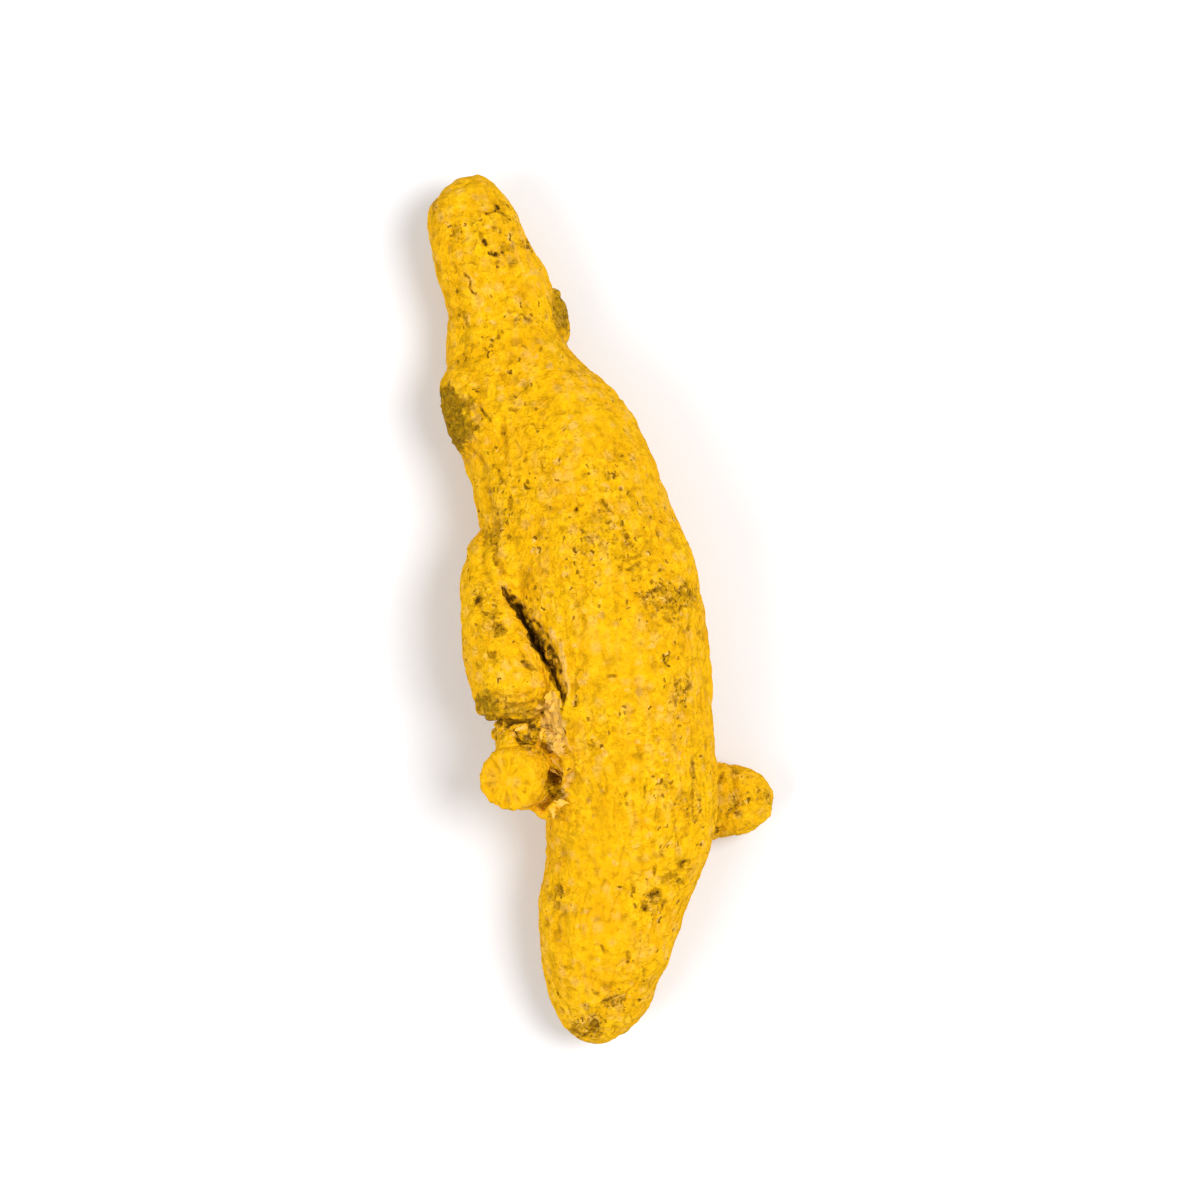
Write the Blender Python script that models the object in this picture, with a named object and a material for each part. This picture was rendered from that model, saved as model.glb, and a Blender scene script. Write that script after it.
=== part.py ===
"""A dried turmeric root: one knobbly rhizome, lying on its side.

The root grew as one piece, so it is one closed body. Each growth is a sweep: a round section carried
along a path of stations, each a place, a half width and a half height. The growths are fused by a voxel
remesh, node rings and scars are raised on the fused skin by a formula, and the underside is cut flat where
the root stands.

Frame: +Y runs along the root from the thick foot to the narrow tip, +X to the side that the round nodule is
on, +Z up. The origin is under the middle of the root, on the surface that it lies on.
"""

import math

import bpy
import numpy as np

MM = 0.001

# Where the origin is, measured from the foot and from the line that joins foot and tip, in millimetres
ORIGIN_ALONG = 40.2
ORIGIN_SIDE = 6.9

# Stations of each growth, in millimetres: along, side, height, half width, half height
BODY = [
    (0.0, 0.9, 4.5, 0.0, 0.0),
    (2.0, 1.55, 4.7, 3.1, 3.2),
    (6.0, 2.2, 5.2, 4.8, 4.7),
    (10.5, 3.5, 5.9, 6.1, 5.9),
    (15.0, 5.1, 6.3, 6.8, 6.6),
    (20.0, 6.5, 7.2, 7.8, 7.1),
    (28.0, 7.2, 8.0, 8.2, 7.6),
    (36.0, 7.4, 8.5, 8.8, 8.0),
    (42.0, 6.8, 8.5, 8.9, 8.1),
    (48.0, 5.7, 7.9, 8.3, 7.6),
    (54.0, 4.5, 7.0, 7.9, 7.0),
    (59.0, 2.7, 6.0, 6.4, 6.1),
    (63.5, 1.75, 5.1, 5.2, 5.3),
    (68.0, 1.6, 4.9, 4.9, 4.9),
    (72.5, 0.8, 5.3, 4.6, 4.6),
    (76.5, -0.1, 5.9, 3.75, 3.8),
    (79.3, -0.1, 6.2, 2.3, 2.3),
    (80.4, -0.1, 6.3, 0.0, 0.0),
]
# The side finger that lies along the body, split from it by a deep crack
FINGER = [
    (48.0, -2.2, 8.4, 0.0, 0.0),
    (46.2, -2.8, 8.9, 1.7, 2.0),
    (43.5, -3.1, 9.4, 2.5, 3.0),
    (40.0, -2.9, 9.9, 3.2, 3.8),
    (36.5, -2.5, 10.2, 3.7, 4.2),
    (33.3, -1.75, 10.3, 3.9, 4.2),
    (31.3, -1.65, 10.3, 3.3, 3.5),
    (30.2, -1.7, 10.3, 0.0, 0.0),
]
# What fills the hollow between the finger's upper end and the body
WEB = [
    (51.0, 2.5, 8.5, 0.0, 0.0),
    (48.0, 0.9, 9.6, 2.6, 2.6),
    (44.5, -0.5, 10.4, 3.0, 2.9),
    (42.2, -0.9, 10.8, 2.6, 2.4),
    (40.6, -1.0, 10.8, 0.0, 0.0),
]
# The stub that stands out of a torn sheath and bends up, with a blunt end
KNOB = [
    (26.0, 2.8, 7.8, 0.0, 0.0),
    (25.8, 1.0, 8.5, 3.9, 3.2),
    (25.6, -1.0, 9.9, 3.4, 3.0),
    (25.5, -2.6, 11.7, 3.0, 2.9),
    (25.3, -3.4, 13.0, 3.0, 2.9),
    (25.3, -3.6, 13.6, 2.5, 2.4),
    (25.3, -3.7, 13.9, 0.0, 0.0),
]
# The short swollen joint between the finger and the stub
JOINT = [
    (29.2, 3.4, 9.6, 0.0, 0.0),
    (29.2, 1.6, 10.6, 2.0, 2.2),
    (29.2, -0.8, 11.0, 1.9, 2.1),
    (29.3, -2.7, 10.9, 1.6, 1.8),
    (29.3, -4.1, 10.6, 0.0, 0.0),
]
# The round nodule that the root leans on
NODULE = [
    (21.2, 9.0, 5.2, 0.0, 0.0),
    (21.0, 11.5, 4.6, 4.1, 3.9),
    (20.4, 14.6, 3.6, 3.7, 3.6),
    (19.9, 17.3, 3.0, 3.1, 3.3),
    (19.6, 18.8, 3.0, 2.35, 2.5),
    (19.3, 20.1, 3.0, 0.0, 0.0),
]
# A pressed bud on the neck
BUD = [
    (69.3, 5.4, 4.7, 0.0, 0.0),
    (68.4, 6.0, 4.7, 0.9, 1.4),
    (66.5, 6.4, 4.8, 1.1, 1.8),
    (64.6, 6.5, 4.7, 0.9, 1.4),
    (63.6, 6.3, 4.7, 0.0, 0.0),
]
# The low mound under the large scar on the neck
SCAR_MOUND = [
    (62.0, -0.8, 7.3, 0.0, 0.0),
    (60.8, -1.2, 7.6, 2.4, 2.2),
    (58.2, -1.6, 7.8, 3.3, 3.0),
    (55.6, -1.1, 7.9, 2.5, 2.4),
    (54.2, -0.6, 7.9, 0.0, 0.0),
]

# Rings and segments of a sweep, and how its section departs from an oval
RINGS = 90
SEGMENTS = 72
LOBES = ((2, 0.030, 0.9), (3, 0.022, 2.4), (5, 0.010, 0.3))
LOBE_TWIST = 0.045

# The torn sheath round the stub, a wavy ring: centre and lean as along, side and height, radius, half
# thickness, half depth as a multiple of that, the lip's rise, and waves as count, size and phase
SHEATH_CENTRE = (25.6, -1.0, 11.6)
SHEATH_LEAN = (0.0, -0.60, 0.80)
SHEATH_RADIUS = 3.5
SHEATH_THICKNESS = 0.5
SHEATH_DEPTH = 1.6
SHEATH_LIP = 0.8
SHEATH_WAVES = ((3, 0.07, 0.4), (5, 0.06, 1.9), (8, 0.05, 0.7))

# Fusing
VOXEL = 0.30
SMOOTH_PASSES = 5
MAX_TRIANGLES = 10600

# Node rings, as places along the root, then their height, half length and slant, how far they wander, and how
# patchy they are, in millimetres
NODE_RINGS = (7.2, 13.4, 19.0, 24.8, 30.4, 36.2, 42.0, 47.6, 52.4, 57.0, 61.6, 66.6, 71.4, 75.6)
RING_HEIGHT = 0.12
RING_HALF_LENGTH = 0.85
RING_SLANT = 0.10
RING_WANDER = 0.5
RING_WANDER_SIZE = 5.0
RING_EVEN_SHARE = 0.5
RING_PATCH_SHARE = 0.8
RING_PATCH_SIZE = 6.0

# Lumps: size of a lump and how far it stands out or in, in millimetres
LUMPS = ((9.0, 0.36), (4.2, 0.16))

# Seeds of the noise
LUMP_SEED = 3
RING_SEED = 11
PATCH_SEED = 17

# The crack between finger and body: along, side and depth, then its half width, and the height that it fades
# out at, in millimetres
CRACK = [
    (43.4, -1.8, 0.0),
    (42.0, -1.4, 0.6),
    (39.4, -0.2, 1.2),
    (36.0, 1.1, 1.2),
    (31.9, 2.0, 0.9),
    (30.2, 2.1, 0.2),
]
CRACK_HALF_WIDTH = 0.5
CRACK_LOWEST = 9.5
CRACK_FADE = 0.3

# The crease round the nodule: its place on the side axis, where it starts to slant and how much, its depth
# and its half width, in millimetres
CREASE_SIDE = 16.7
CREASE_SLANT_FROM = 20.2
CREASE_SLANT = 0.65
CREASE_DEPTH = 0.16
CREASE_HALF_WIDTH = 0.45
NODULE_FROM = 13.8
NODULE_FADE = 0.2

# Scars and pits: along, side, height, then half lengths along, side and height, depth, rim, in millimetres
SCARS = [
    (58.2, -3.7, 9.9, 2.9, 2.2, 2.3, 0.30, 0.10),
    (39.2, 12.8, 13.4, 2.0, 2.0, 2.6, 0.12, 0.0),
    (13.1, 8.6, 10.6, 1.6, 1.7, 2.0, 0.12, 0.0),
    (4.0, 2.9, 8.7, 0.9, 1.2, 1.4, 0.32, 0.10),
    (1.9, 0.9, 7.7, 0.8, 0.8, 1.2, 0.36, 0.14),
    (1.4, -0.6, 7.0, 0.7, 0.8, 1.0, 0.30, 0.10),
    (24.8, 0.35, 12.9, 1.2, 0.7, 1.7, 1.40, 0.06),
    (19.3, 20.0, 3.0, 1.1, 0.9, 1.1, 0.12, 0.08),
    (80.3, -0.1, 6.3, 0.9, 1.2, 1.2, 0.22, 0.10),
    (46.0, 3.0, 0.6, 1.5, 1.7, 1.8, 0.40, 0.20),
    (30.0, 14.2, 4.2, 1.6, 1.6, 1.7, 0.45, 0.22),
    (52.0, 11.6, 5.0, 1.2, 1.2, 1.3, 0.35, 0.18),
    (34.0, -0.6, 3.6, 1.3, 1.3, 1.4, 0.40, 0.20),
]
# Where a scar's floor ends and its rim stands, as shares of its half lengths
SCAR_EDGE = 0.8
SCAR_FADE = 0.1
RIM_PLACE = 1.05
RIM_WIDTH = 0.22

# The block that cuts the contact spots: its width, length and height, in millimetres
GROUND = (60.0, 120.0, 10.0)


def smooth_between(knots, values, at):
    """Cubic curve through values at knots, read at the places in at; its slopes come from both neighbours."""
    slopes = np.gradient(values, knots, axis=0)
    left = np.clip(np.searchsorted(knots, at) - 1, 0, len(knots) - 2)
    span = knots[left + 1] - knots[left]
    t = ((at - knots[left]) / span)[:, None]
    span = span[:, None]
    return (
        (1 + 2 * t) * (1 - t) ** 2 * values[left]
        + t * (1 - t) ** 2 * span * slopes[left]
        + t**2 * (3 - 2 * t) * values[left + 1]
        - t**2 * (1 - t) * span * slopes[left + 1]
    )


def to_frame(along, side, height):
    """A place given from the foot and the foot-to-tip line, as x, y, z about the origin, in millimetres."""
    return np.stack([side - ORIGIN_SIDE, along - ORIGIN_ALONG, height], axis=-1)


def unit(vectors):
    return vectors / np.linalg.norm(vectors, axis=-1, keepdims=True)


def sweep_points(stations, lobe_scale=1.0):
    """Rings of points round the path through the stations: an oval with a few lobes that turn along the path.

    Half sizes are smoothed as squares, so a growth that narrows to nothing has a round end, and the rings
    stand closer towards both ends.
    """
    table = np.array(stations, float)
    centres = to_frame(table[:, 0], table[:, 1], table[:, 2])
    knots = np.concatenate([[0.0], np.cumsum(np.linalg.norm(np.diff(centres, axis=0), axis=1))])
    place = knots[-1] * 0.5 * (1 - np.cos(np.linspace(0.0, math.pi, RINGS + 2)[1:-1]))
    path = smooth_between(knots, centres, place)
    halves = np.sqrt(np.maximum(smooth_between(knots, table[:, 3:] ** 2, place), 1e-4))
    ahead = unit(np.gradient(path, place, axis=0))
    across = unit(np.cross(ahead, [0.0, 0.0, 1.0]))
    above = np.cross(across, ahead)
    angle = np.linspace(0.0, 2 * math.pi, SEGMENTS, endpoint=False)[None, :]
    turn = LOBE_TWIST * place[:, None]
    section = 1 + lobe_scale * sum(
        size * np.cos(count * (angle + turn) + phase) for count, size, phase in LOBES
    )
    rings = (
        path[:, None, :]
        + (halves[:, :1] * section * np.cos(angle))[..., None] * across[:, None, :]
        + (halves[:, 1:] * section * np.sin(angle))[..., None] * above[:, None, :]
    )
    return np.concatenate([centres[:1], rings.reshape(-1, 3), centres[-1:]])


def tube_faces(rings, segments):
    """Faces of a capped tube: a fan at each end point and quads between neighbouring rings."""
    grid = 1 + np.arange(rings * segments).reshape(rings, segments)
    beside = np.roll(grid, -1, axis=1)
    last = 1 + rings * segments
    start = [(0, int(a), int(b)) for a, b in zip(beside[0], grid[0])]
    end = [(last, int(a), int(b)) for a, b in zip(grid[-1], beside[-1])]
    quads = np.stack([grid[:-1], beside[:-1], beside[1:], grid[1:]], axis=-1).reshape(-1, 4)
    return start + quads.tolist() + end


def ring_faces(rings, segments):
    """Faces of a closed ring of sections, each joined to the next and the last to the first."""
    grid = np.arange(rings * segments).reshape(rings, segments)
    beside = np.roll(grid, -1, axis=1)
    return (
        np.stack([grid, beside, np.roll(beside, -1, axis=0), np.roll(grid, -1, axis=0)], axis=-1)
        .reshape(-1, 4)
        .tolist()
    )


def sheath_points():
    """A ring round the stub that leans with it: its radius and its lip rise and fall in waves."""
    normal = unit(np.array(SHEATH_LEAN, float))
    first = unit(np.cross(normal, [0.0, 0.0, 1.0]))
    second = np.cross(normal, first)
    normal, first, second = (np.array([v[1], v[0], v[2]]) for v in (normal, first, second))
    turn = np.linspace(0.0, 2 * math.pi, SEGMENTS, endpoint=False)
    waves = sum(size * np.cos(count * turn + phase) for count, size, phase in SHEATH_WAVES)
    outward = np.cos(turn)[:, None] * first + np.sin(turn)[:, None] * second
    centre = to_frame(*(np.array(v) for v in SHEATH_CENTRE))
    radius = SHEATH_RADIUS * (1 + waves)
    middle = centre + radius[:, None] * outward + (SHEATH_LIP * waves)[:, None] * normal
    angle = np.linspace(0.0, 2 * math.pi, SEGMENTS // 4, endpoint=False)
    thickness = SHEATH_THICKNESS * (1 + waves)
    return (
        middle[:, None, :]
        + (thickness[:, None] * np.cos(angle))[..., None] * outward[:, None, :]
        + (SHEATH_DEPTH * thickness[:, None] * np.sin(angle))[..., None] * normal
    ).reshape(-1, 3)


def new_object(name, points_mm, faces):
    mesh = bpy.data.meshes.new(name)
    mesh.from_pydata((points_mm * MM).tolist(), [], faces)
    mesh.update()
    obj = bpy.data.objects.new(name, mesh)
    bpy.context.scene.collection.objects.link(obj)
    return obj


def growths():
    """Every growth of the root as an object of its own, overlapping its neighbours."""
    named = {
        "finger": FINGER,
        "web": WEB,
        "knob": KNOB,
        "joint": JOINT,
        "nodule": NODULE,
        "bud": BUD,
        "scar_mound": SCAR_MOUND,
    }
    faces = tube_faces(RINGS, SEGMENTS)
    made = [new_object("body", sweep_points(BODY), faces)]
    made += [new_object(name, sweep_points(stations, 0.6), faces) for name, stations in named.items()]
    made.append(new_object("sheath", sheath_points(), ring_faces(SEGMENTS, SEGMENTS // 4)))
    return made


def fuse(objects):
    """One skin over all the growths: a voxel remesh of their joined meshes, then a few smoothing passes."""
    points, faces, start = [], [], 0
    for obj in objects:
        count = len(obj.data.vertices)
        own = np.empty(count * 3)
        obj.data.vertices.foreach_get("co", own)
        points.append(own.reshape(-1, 3) / MM)
        faces += [[start + v for v in face.vertices] for face in obj.data.polygons]
        start += count
        bpy.data.objects.remove(obj)
    fused = new_object("turmeric_root", np.concatenate(points), faces)
    remesh = fused.modifiers.new("fuse", "REMESH")
    remesh.mode = "VOXEL"
    remesh.voxel_size = VOXEL * MM
    smooth = fused.modifiers.new("smooth", "SMOOTH")
    smooth.factor = 0.5
    smooth.iterations = SMOOTH_PASSES
    return apply_modifiers(fused)


def apply_modifiers(obj):
    """Replaces the object's mesh with the mesh that its modifiers make."""
    graph = bpy.context.evaluated_depsgraph_get()
    shaped = bpy.data.meshes.new_from_object(obj.evaluated_get(graph))
    rough = obj.data
    obj.modifiers.clear()
    obj.data = shaped
    bpy.data.meshes.remove(rough)
    return obj


def corner_value(cell, seed):
    """A repeatable number from -1 to 1 for each whole-numbered cell corner, from mixed integer products."""
    mixed = cell[..., 0] * 73856093 ^ cell[..., 1] * 19349663 ^ cell[..., 2] * 83492791 ^ seed * 2654435761
    mixed = (mixed ^ (mixed >> 13)) * 1274126177 & 0x7FFFFFFF
    return (mixed / 0x3FFFFFFF) - 1.0


def noise(points, seed):
    """Smooth noise from -1 to 1: corner values of the unit cell, blended by a smooth step on each axis."""
    base = np.floor(points).astype(np.int64)
    t = points - base
    t = t * t * (3 - 2 * t)
    total = np.zeros(len(points))
    for corner in np.ndindex(2, 2, 2):
        share = np.prod(np.where(corner, t, 1 - t), axis=1)
        total += share * corner_value(base + np.array(corner), seed)
    return total


def body_axis(along):
    """Side and height of the body's middle line at places along it."""
    table = np.array(BODY, float)
    return smooth_between(table[:, 0], table[:, 1:3], np.clip(along, 0.0, table[-1, 0]))


def step_down(values, edge, width):
    """One below the edge and nothing above it, with a soft step between."""
    return 0.5 - 0.5 * np.tanh((values - edge) / (2 * width))


def crack_depth(along, side):
    """Depth of the crack at places seen from above: that at the nearest point of its line, fading across."""
    nearest = np.full(len(along), np.inf)
    depth = np.zeros(len(along))
    line = np.array(CRACK, float)
    for start, end in zip(line[:-1], line[1:]):
        step = end[:2] - start[:2]
        share = (along - start[0]) * step[0] + (side - start[1]) * step[1]
        share = np.clip(share / (step @ step), 0.0, 1.0)
        far = np.hypot(along - start[0] - share * step[0], side - start[1] - share * step[1])
        depth = np.where(far < nearest, start[2] + share * (end[2] - start[2]), depth)
        nearest = np.minimum(far, nearest)
    return depth * np.exp(-((nearest / CRACK_HALF_WIDTH) ** 2))


def relief(points):
    """How far each point stands out from the fused skin, in millimetres: lumps, node rings and scars."""
    along = points[:, 1] + ORIGIN_ALONG
    side = points[:, 0] + ORIGIN_SIDE
    height = points[:, 2]
    out = sum(size * noise(points / lump, LUMP_SEED + n) for n, (lump, size) in enumerate(LUMPS))
    axis = body_axis(along)
    wander = RING_WANDER * noise(points / RING_WANDER_SIZE, RING_SEED)
    slanted = along + RING_SLANT * (side - axis[:, 0]) + wander
    rings = sum(np.exp(-(((slanted - at) / RING_HALF_LENGTH) ** 2)) for at in NODE_RINGS)
    patches = noise(points / RING_PATCH_SIZE, PATCH_SEED)
    out += RING_HEIGHT * rings * (RING_EVEN_SHARE + RING_PATCH_SHARE * patches)
    fold = side - CREASE_SIDE + CREASE_SLANT * np.maximum(0.0, CREASE_SLANT_FROM - along)
    on_nodule = step_down(-side, -NODULE_FROM, NODULE_FADE)
    out -= CREASE_DEPTH * np.exp(-((fold / CREASE_HALF_WIDTH) ** 2)) * on_nodule
    for at, across, up, long_half, side_half, high_half, depth, rim in SCARS:
        far = np.sqrt(
            ((along - at) / long_half) ** 2
            + ((side - across) / side_half) ** 2
            + ((height - up) / high_half) ** 2
        )
        out -= depth * step_down(far, SCAR_EDGE, SCAR_FADE)
        out += rim * np.exp(-(((far - RIM_PLACE) / RIM_WIDTH) ** 2))
    return out


def raise_relief(obj):
    """Moves every vertex along its normal by the relief at its place, then down into the crack."""
    count = len(obj.data.vertices)
    points = np.empty(count * 3)
    normals = np.empty(count * 3)
    obj.data.vertices.foreach_get("co", points)
    obj.data.vertex_normals.foreach_get("vector", normals)
    points = points.reshape(-1, 3) / MM
    in_crack = crack_depth(points[:, 1] + ORIGIN_ALONG, points[:, 0] + ORIGIN_SIDE)
    in_crack *= step_down(-points[:, 2], -CRACK_LOWEST, CRACK_FADE)
    points += relief(points)[:, None] * normals.reshape(-1, 3)
    points[:, 2] -= in_crack
    obj.data.vertices.foreach_set("co", (points * MM).ravel())
    obj.data.update()


def cut_flat(obj):
    """Cuts off what reaches below the surface that the root lies on, which leaves three small flat spots."""
    bpy.ops.mesh.primitive_cube_add(size=1.0, location=(0.0, 0.0, -0.5 * GROUND[2] * MM))
    ground = bpy.context.object
    ground.name = "ground_cutter"
    ground.scale = [size * MM for size in GROUND]
    ground.hide_render = True
    ground.display_type = "WIRE"
    cut = obj.modifiers.new("contact_spots", "BOOLEAN")
    cut.operation = "DIFFERENCE"
    cut.object = ground
    cut.solver = "EXACT"


def skin_material():
    """Dry, powdery, golden yellow skin."""
    material = bpy.data.materials.new("turmeric_skin")
    material.use_nodes = True
    shader = material.node_tree.nodes["Principled BSDF"]
    shader.inputs["Base Color"].default_value = (0.80, 0.50, 0.02, 1.0)
    shader.inputs["Roughness"].default_value = 0.85
    shader.inputs["Metallic"].default_value = 0.0
    return material


def main():
    for obj in list(bpy.data.objects):
        bpy.data.objects.remove(obj)
    root = fuse(growths())
    raise_relief(root)
    thin = root.modifiers.new("fewer_faces", "DECIMATE")
    thin.ratio = MAX_TRIANGLES / (2 * len(root.data.polygons))
    root.data.shade_smooth()
    cut_flat(root)
    root.data.materials.append(skin_material())


main()
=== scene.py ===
"""The looks of a dried turmeric root: powdery golden skin, cracks, scars and a torn sheath, built round its solid.

Places on the root are given in millimetres as along (from the foot), side (from the line that joins foot and tip,
to the nodule's side) and height (above the surface that it lies on). to_frame turns them into x, y and z.
"""

import math

import bpy
import numpy as np
from mathutils import Matrix, Vector


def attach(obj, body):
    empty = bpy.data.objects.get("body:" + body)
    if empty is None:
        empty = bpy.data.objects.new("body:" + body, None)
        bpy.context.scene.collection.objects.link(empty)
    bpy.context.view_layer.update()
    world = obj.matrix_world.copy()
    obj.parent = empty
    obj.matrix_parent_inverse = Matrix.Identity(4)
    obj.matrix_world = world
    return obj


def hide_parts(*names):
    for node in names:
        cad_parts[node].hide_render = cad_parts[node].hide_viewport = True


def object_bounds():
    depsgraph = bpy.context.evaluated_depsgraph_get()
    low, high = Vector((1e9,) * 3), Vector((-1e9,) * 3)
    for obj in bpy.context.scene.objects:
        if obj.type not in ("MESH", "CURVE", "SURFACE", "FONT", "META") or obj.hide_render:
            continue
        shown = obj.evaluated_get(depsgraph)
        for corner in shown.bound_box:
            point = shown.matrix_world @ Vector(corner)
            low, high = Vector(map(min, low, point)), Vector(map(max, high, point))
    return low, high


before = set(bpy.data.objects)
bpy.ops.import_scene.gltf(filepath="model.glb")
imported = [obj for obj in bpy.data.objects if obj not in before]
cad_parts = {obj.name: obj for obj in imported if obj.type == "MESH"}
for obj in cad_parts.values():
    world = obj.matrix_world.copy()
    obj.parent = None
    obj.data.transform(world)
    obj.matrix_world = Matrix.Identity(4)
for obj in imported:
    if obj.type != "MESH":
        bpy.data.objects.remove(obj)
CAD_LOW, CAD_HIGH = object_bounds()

bl_info = {
    "name": "Dried turmeric root",
    "version": (1, 0, 0),
    "blender": (4, 5, 0),
    "location": "View3D > Sidebar > Turmeric",
    "description": "Builds the powdery skin and the torn sheath of a dried turmeric root, and its plain stage",
    "category": "Object",
}

NODE = "turmeric_root"
MM = 0.001

# Where the origin is, measured from the foot and from the line that joins foot and tip, in millimetres
ORIGIN_ALONG = 40.2
ORIGIN_SIDE = 6.9

# The photograph: where the foot is in it, its scale, and how far the root leans in it, in degrees
FOOT_PIXEL = (760.0, 818.7)
MM_PER_PIXEL = 0.15
LEAN_DEGREES = 8.26

# Stations of each growth: along, side, height, half width, half height
BODY = [
    (-0.35, 1.15, 4.5, 0.0, 0.0),
    (2.0, 1.3, 4.7, 3.7, 3.4),
    (6.0, 2.2, 5.2, 5.2, 4.8),
    (10.5, 3.6, 5.9, 6.4, 5.9),
    (15.0, 5.3, 6.3, 6.95, 6.6),
    (20.0, 6.85, 7.2, 8.1, 7.1),
    (28.0, 7.3, 8.0, 8.3, 7.6),
    (36.0, 7.4, 8.5, 8.8, 8.0),
    (42.0, 6.8, 8.5, 8.9, 8.1),
    (48.0, 5.7, 7.9, 8.3, 7.6),
    (54.0, 4.5, 7.0, 7.9, 7.0),
    (59.0, 2.45, 6.0, 6.65, 6.1),
    (63.5, 1.5, 5.1, 5.5, 5.3),
    (68.0, 1.6, 4.9, 4.9, 4.9),
    (72.5, 0.8, 5.3, 4.6, 4.6),
    (76.5, 0.05, 5.9, 4.0, 3.9),
    (79.3, -0.3, 6.2, 2.75, 2.4),
    (80.4, -0.6, 6.3, 0.0, 0.0),
]
FINGER = [
    (48.0, -2.2, 8.4, 0.0, 0.0),
    (46.2, -2.8, 8.9, 1.7, 2.0),
    (43.5, -3.1, 9.4, 2.5, 3.0),
    (40.0, -2.9, 9.9, 3.2, 3.8),
    (36.5, -2.5, 10.2, 3.7, 4.2),
    (33.3, -1.75, 10.3, 3.9, 4.2),
    (31.3, -1.65, 10.3, 3.3, 3.5),
    (30.2, -1.7, 10.3, 0.0, 0.0),
]
WEB = [
    (51.0, 2.5, 8.5, 0.0, 0.0),
    (48.0, 0.9, 9.6, 2.6, 2.6),
    (44.5, -0.5, 10.4, 3.0, 2.9),
    (42.2, -0.9, 10.8, 2.6, 2.4),
    (40.6, -1.0, 10.8, 0.0, 0.0),
]
STUB = [
    (26.0, 2.8, 7.8, 0.0, 0.0),
    (25.8, 1.0, 8.5, 3.9, 3.2),
    (25.6, -1.0, 9.9, 3.3, 2.9),
    (25.5, -2.6, 11.7, 2.8, 2.7),
    (25.3, -3.4, 13.0, 2.75, 2.7),
    (25.3, -3.6, 13.6, 2.4, 2.3),
    (25.3, -3.7, 13.9, 0.0, 0.0),
]
JOINT = [
    (29.2, 3.4, 9.4, 0.0, 0.0),
    (29.2, 1.6, 10.2, 2.0, 2.1),
    (29.2, -0.8, 10.4, 1.9, 2.0),
    (29.4, -3.0, 10.0, 1.4, 1.5),
    (29.5, -4.5, 9.8, 0.0, 0.0),
]
BRIM = [
    (30.4, -4.2, 11.0, 0.0, 0.0),
    (30.2, -3.6, 11.5, 0.34, 0.45),
    (30.0, -2.7, 11.8, 0.42, 0.55),
    (29.8, -1.7, 12.0, 0.36, 0.50),
    (29.9, -0.8, 12.0, 0.0, 0.0),
]
PEAK = [
    (27.2, -3.0, 11.4, 0.0, 0.0),
    (27.9, -3.1, 12.1, 1.2, 0.9),
    (28.7, -3.15, 12.3, 0.8, 0.75),
    (29.4, -3.2, 12.2, 0.42, 0.45),
    (29.8, -3.3, 12.1, 0.0, 0.0),
]
NODULE = [
    (21.2, 9.0, 5.2, 0.0, 0.0),
    (21.0, 11.5, 4.6, 4.1, 3.9),
    (20.4, 14.6, 3.6, 3.7, 3.6),
    (19.9, 17.3, 3.0, 3.1, 3.3),
    (19.6, 18.8, 3.0, 2.35, 2.5),
    (19.3, 20.1, 3.0, 0.0, 0.0),
]
BUD = [
    (69.3, 5.4, 4.7, 0.0, 0.0),
    (68.4, 6.0, 4.7, 0.9, 1.4),
    (66.5, 6.4, 4.8, 1.1, 1.8),
    (64.6, 6.5, 4.7, 0.9, 1.4),
    (63.6, 6.3, 4.7, 0.0, 0.0),
]
SCAR_MOUND = [
    (63.8, -0.8, 7.3, 0.0, 0.0),
    (62.2, -1.3, 7.6, 2.7, 2.3),
    (59.6, -1.9, 7.8, 3.2, 3.0),
    (56.9, -1.7, 7.9, 3.0, 2.7),
    (55.1, -1.2, 7.9, 2.2, 2.0),
    (53.8, -0.6, 7.9, 0.0, 0.0),
]

# How the section of a growth departs from an oval: waves round it, as count, size and phase, that turn along it
LOBES = ((2, 0.030, 0.9), (3, 0.022, 2.4), (5, 0.010, 0.3))
LOBE_TWIST = 0.045

# The torn sheath round the stub: centre and lean as along, side and height, radius, half thickness, half depth as
# a multiple of that, the lip's rise, and waves as count, size and phase
SHEATH_CENTRE = (25.6, -1.0, 11.6)
SHEATH_LEAN = (0.0, -0.60, 0.80)
SHEATH_RADIUS = 3.5
SHEATH_THICKNESS = 0.42
SHEATH_DEPTH = 1.6
SHEATH_LIP = 0.8
SHEATH_WAVES = ((3, 0.07, 0.4), (5, 0.06, 1.9), (8, 0.05, 0.7))

# Node rings: places along the root, half length, slant, how far they wander, and how patchy they are
NODE_RINGS = (7.2, 13.4, 19.0, 24.8, 30.4, 36.2, 42.0, 47.6, 52.4, 57.0, 61.6, 66.6, 71.4, 75.6)
RING_HALF_LENGTH = 0.85
RING_SLANT = 0.10
RING_WANDER = 0.5
RING_WANDER_SIZE = 5.0
RING_EVEN_SHARE = 0.5
RING_PATCH_SHARE = 0.8
RING_PATCH_SIZE = 6.0

# Lumps of the skin, from large to fine: size of a lump and how far it stands out or in
LUMPS = ((9.0, 0.36), (4.2, 0.16))
KNOBBLES = ((2.2, 0.14), (1.1, 0.10), (0.55, 0.055))

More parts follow.
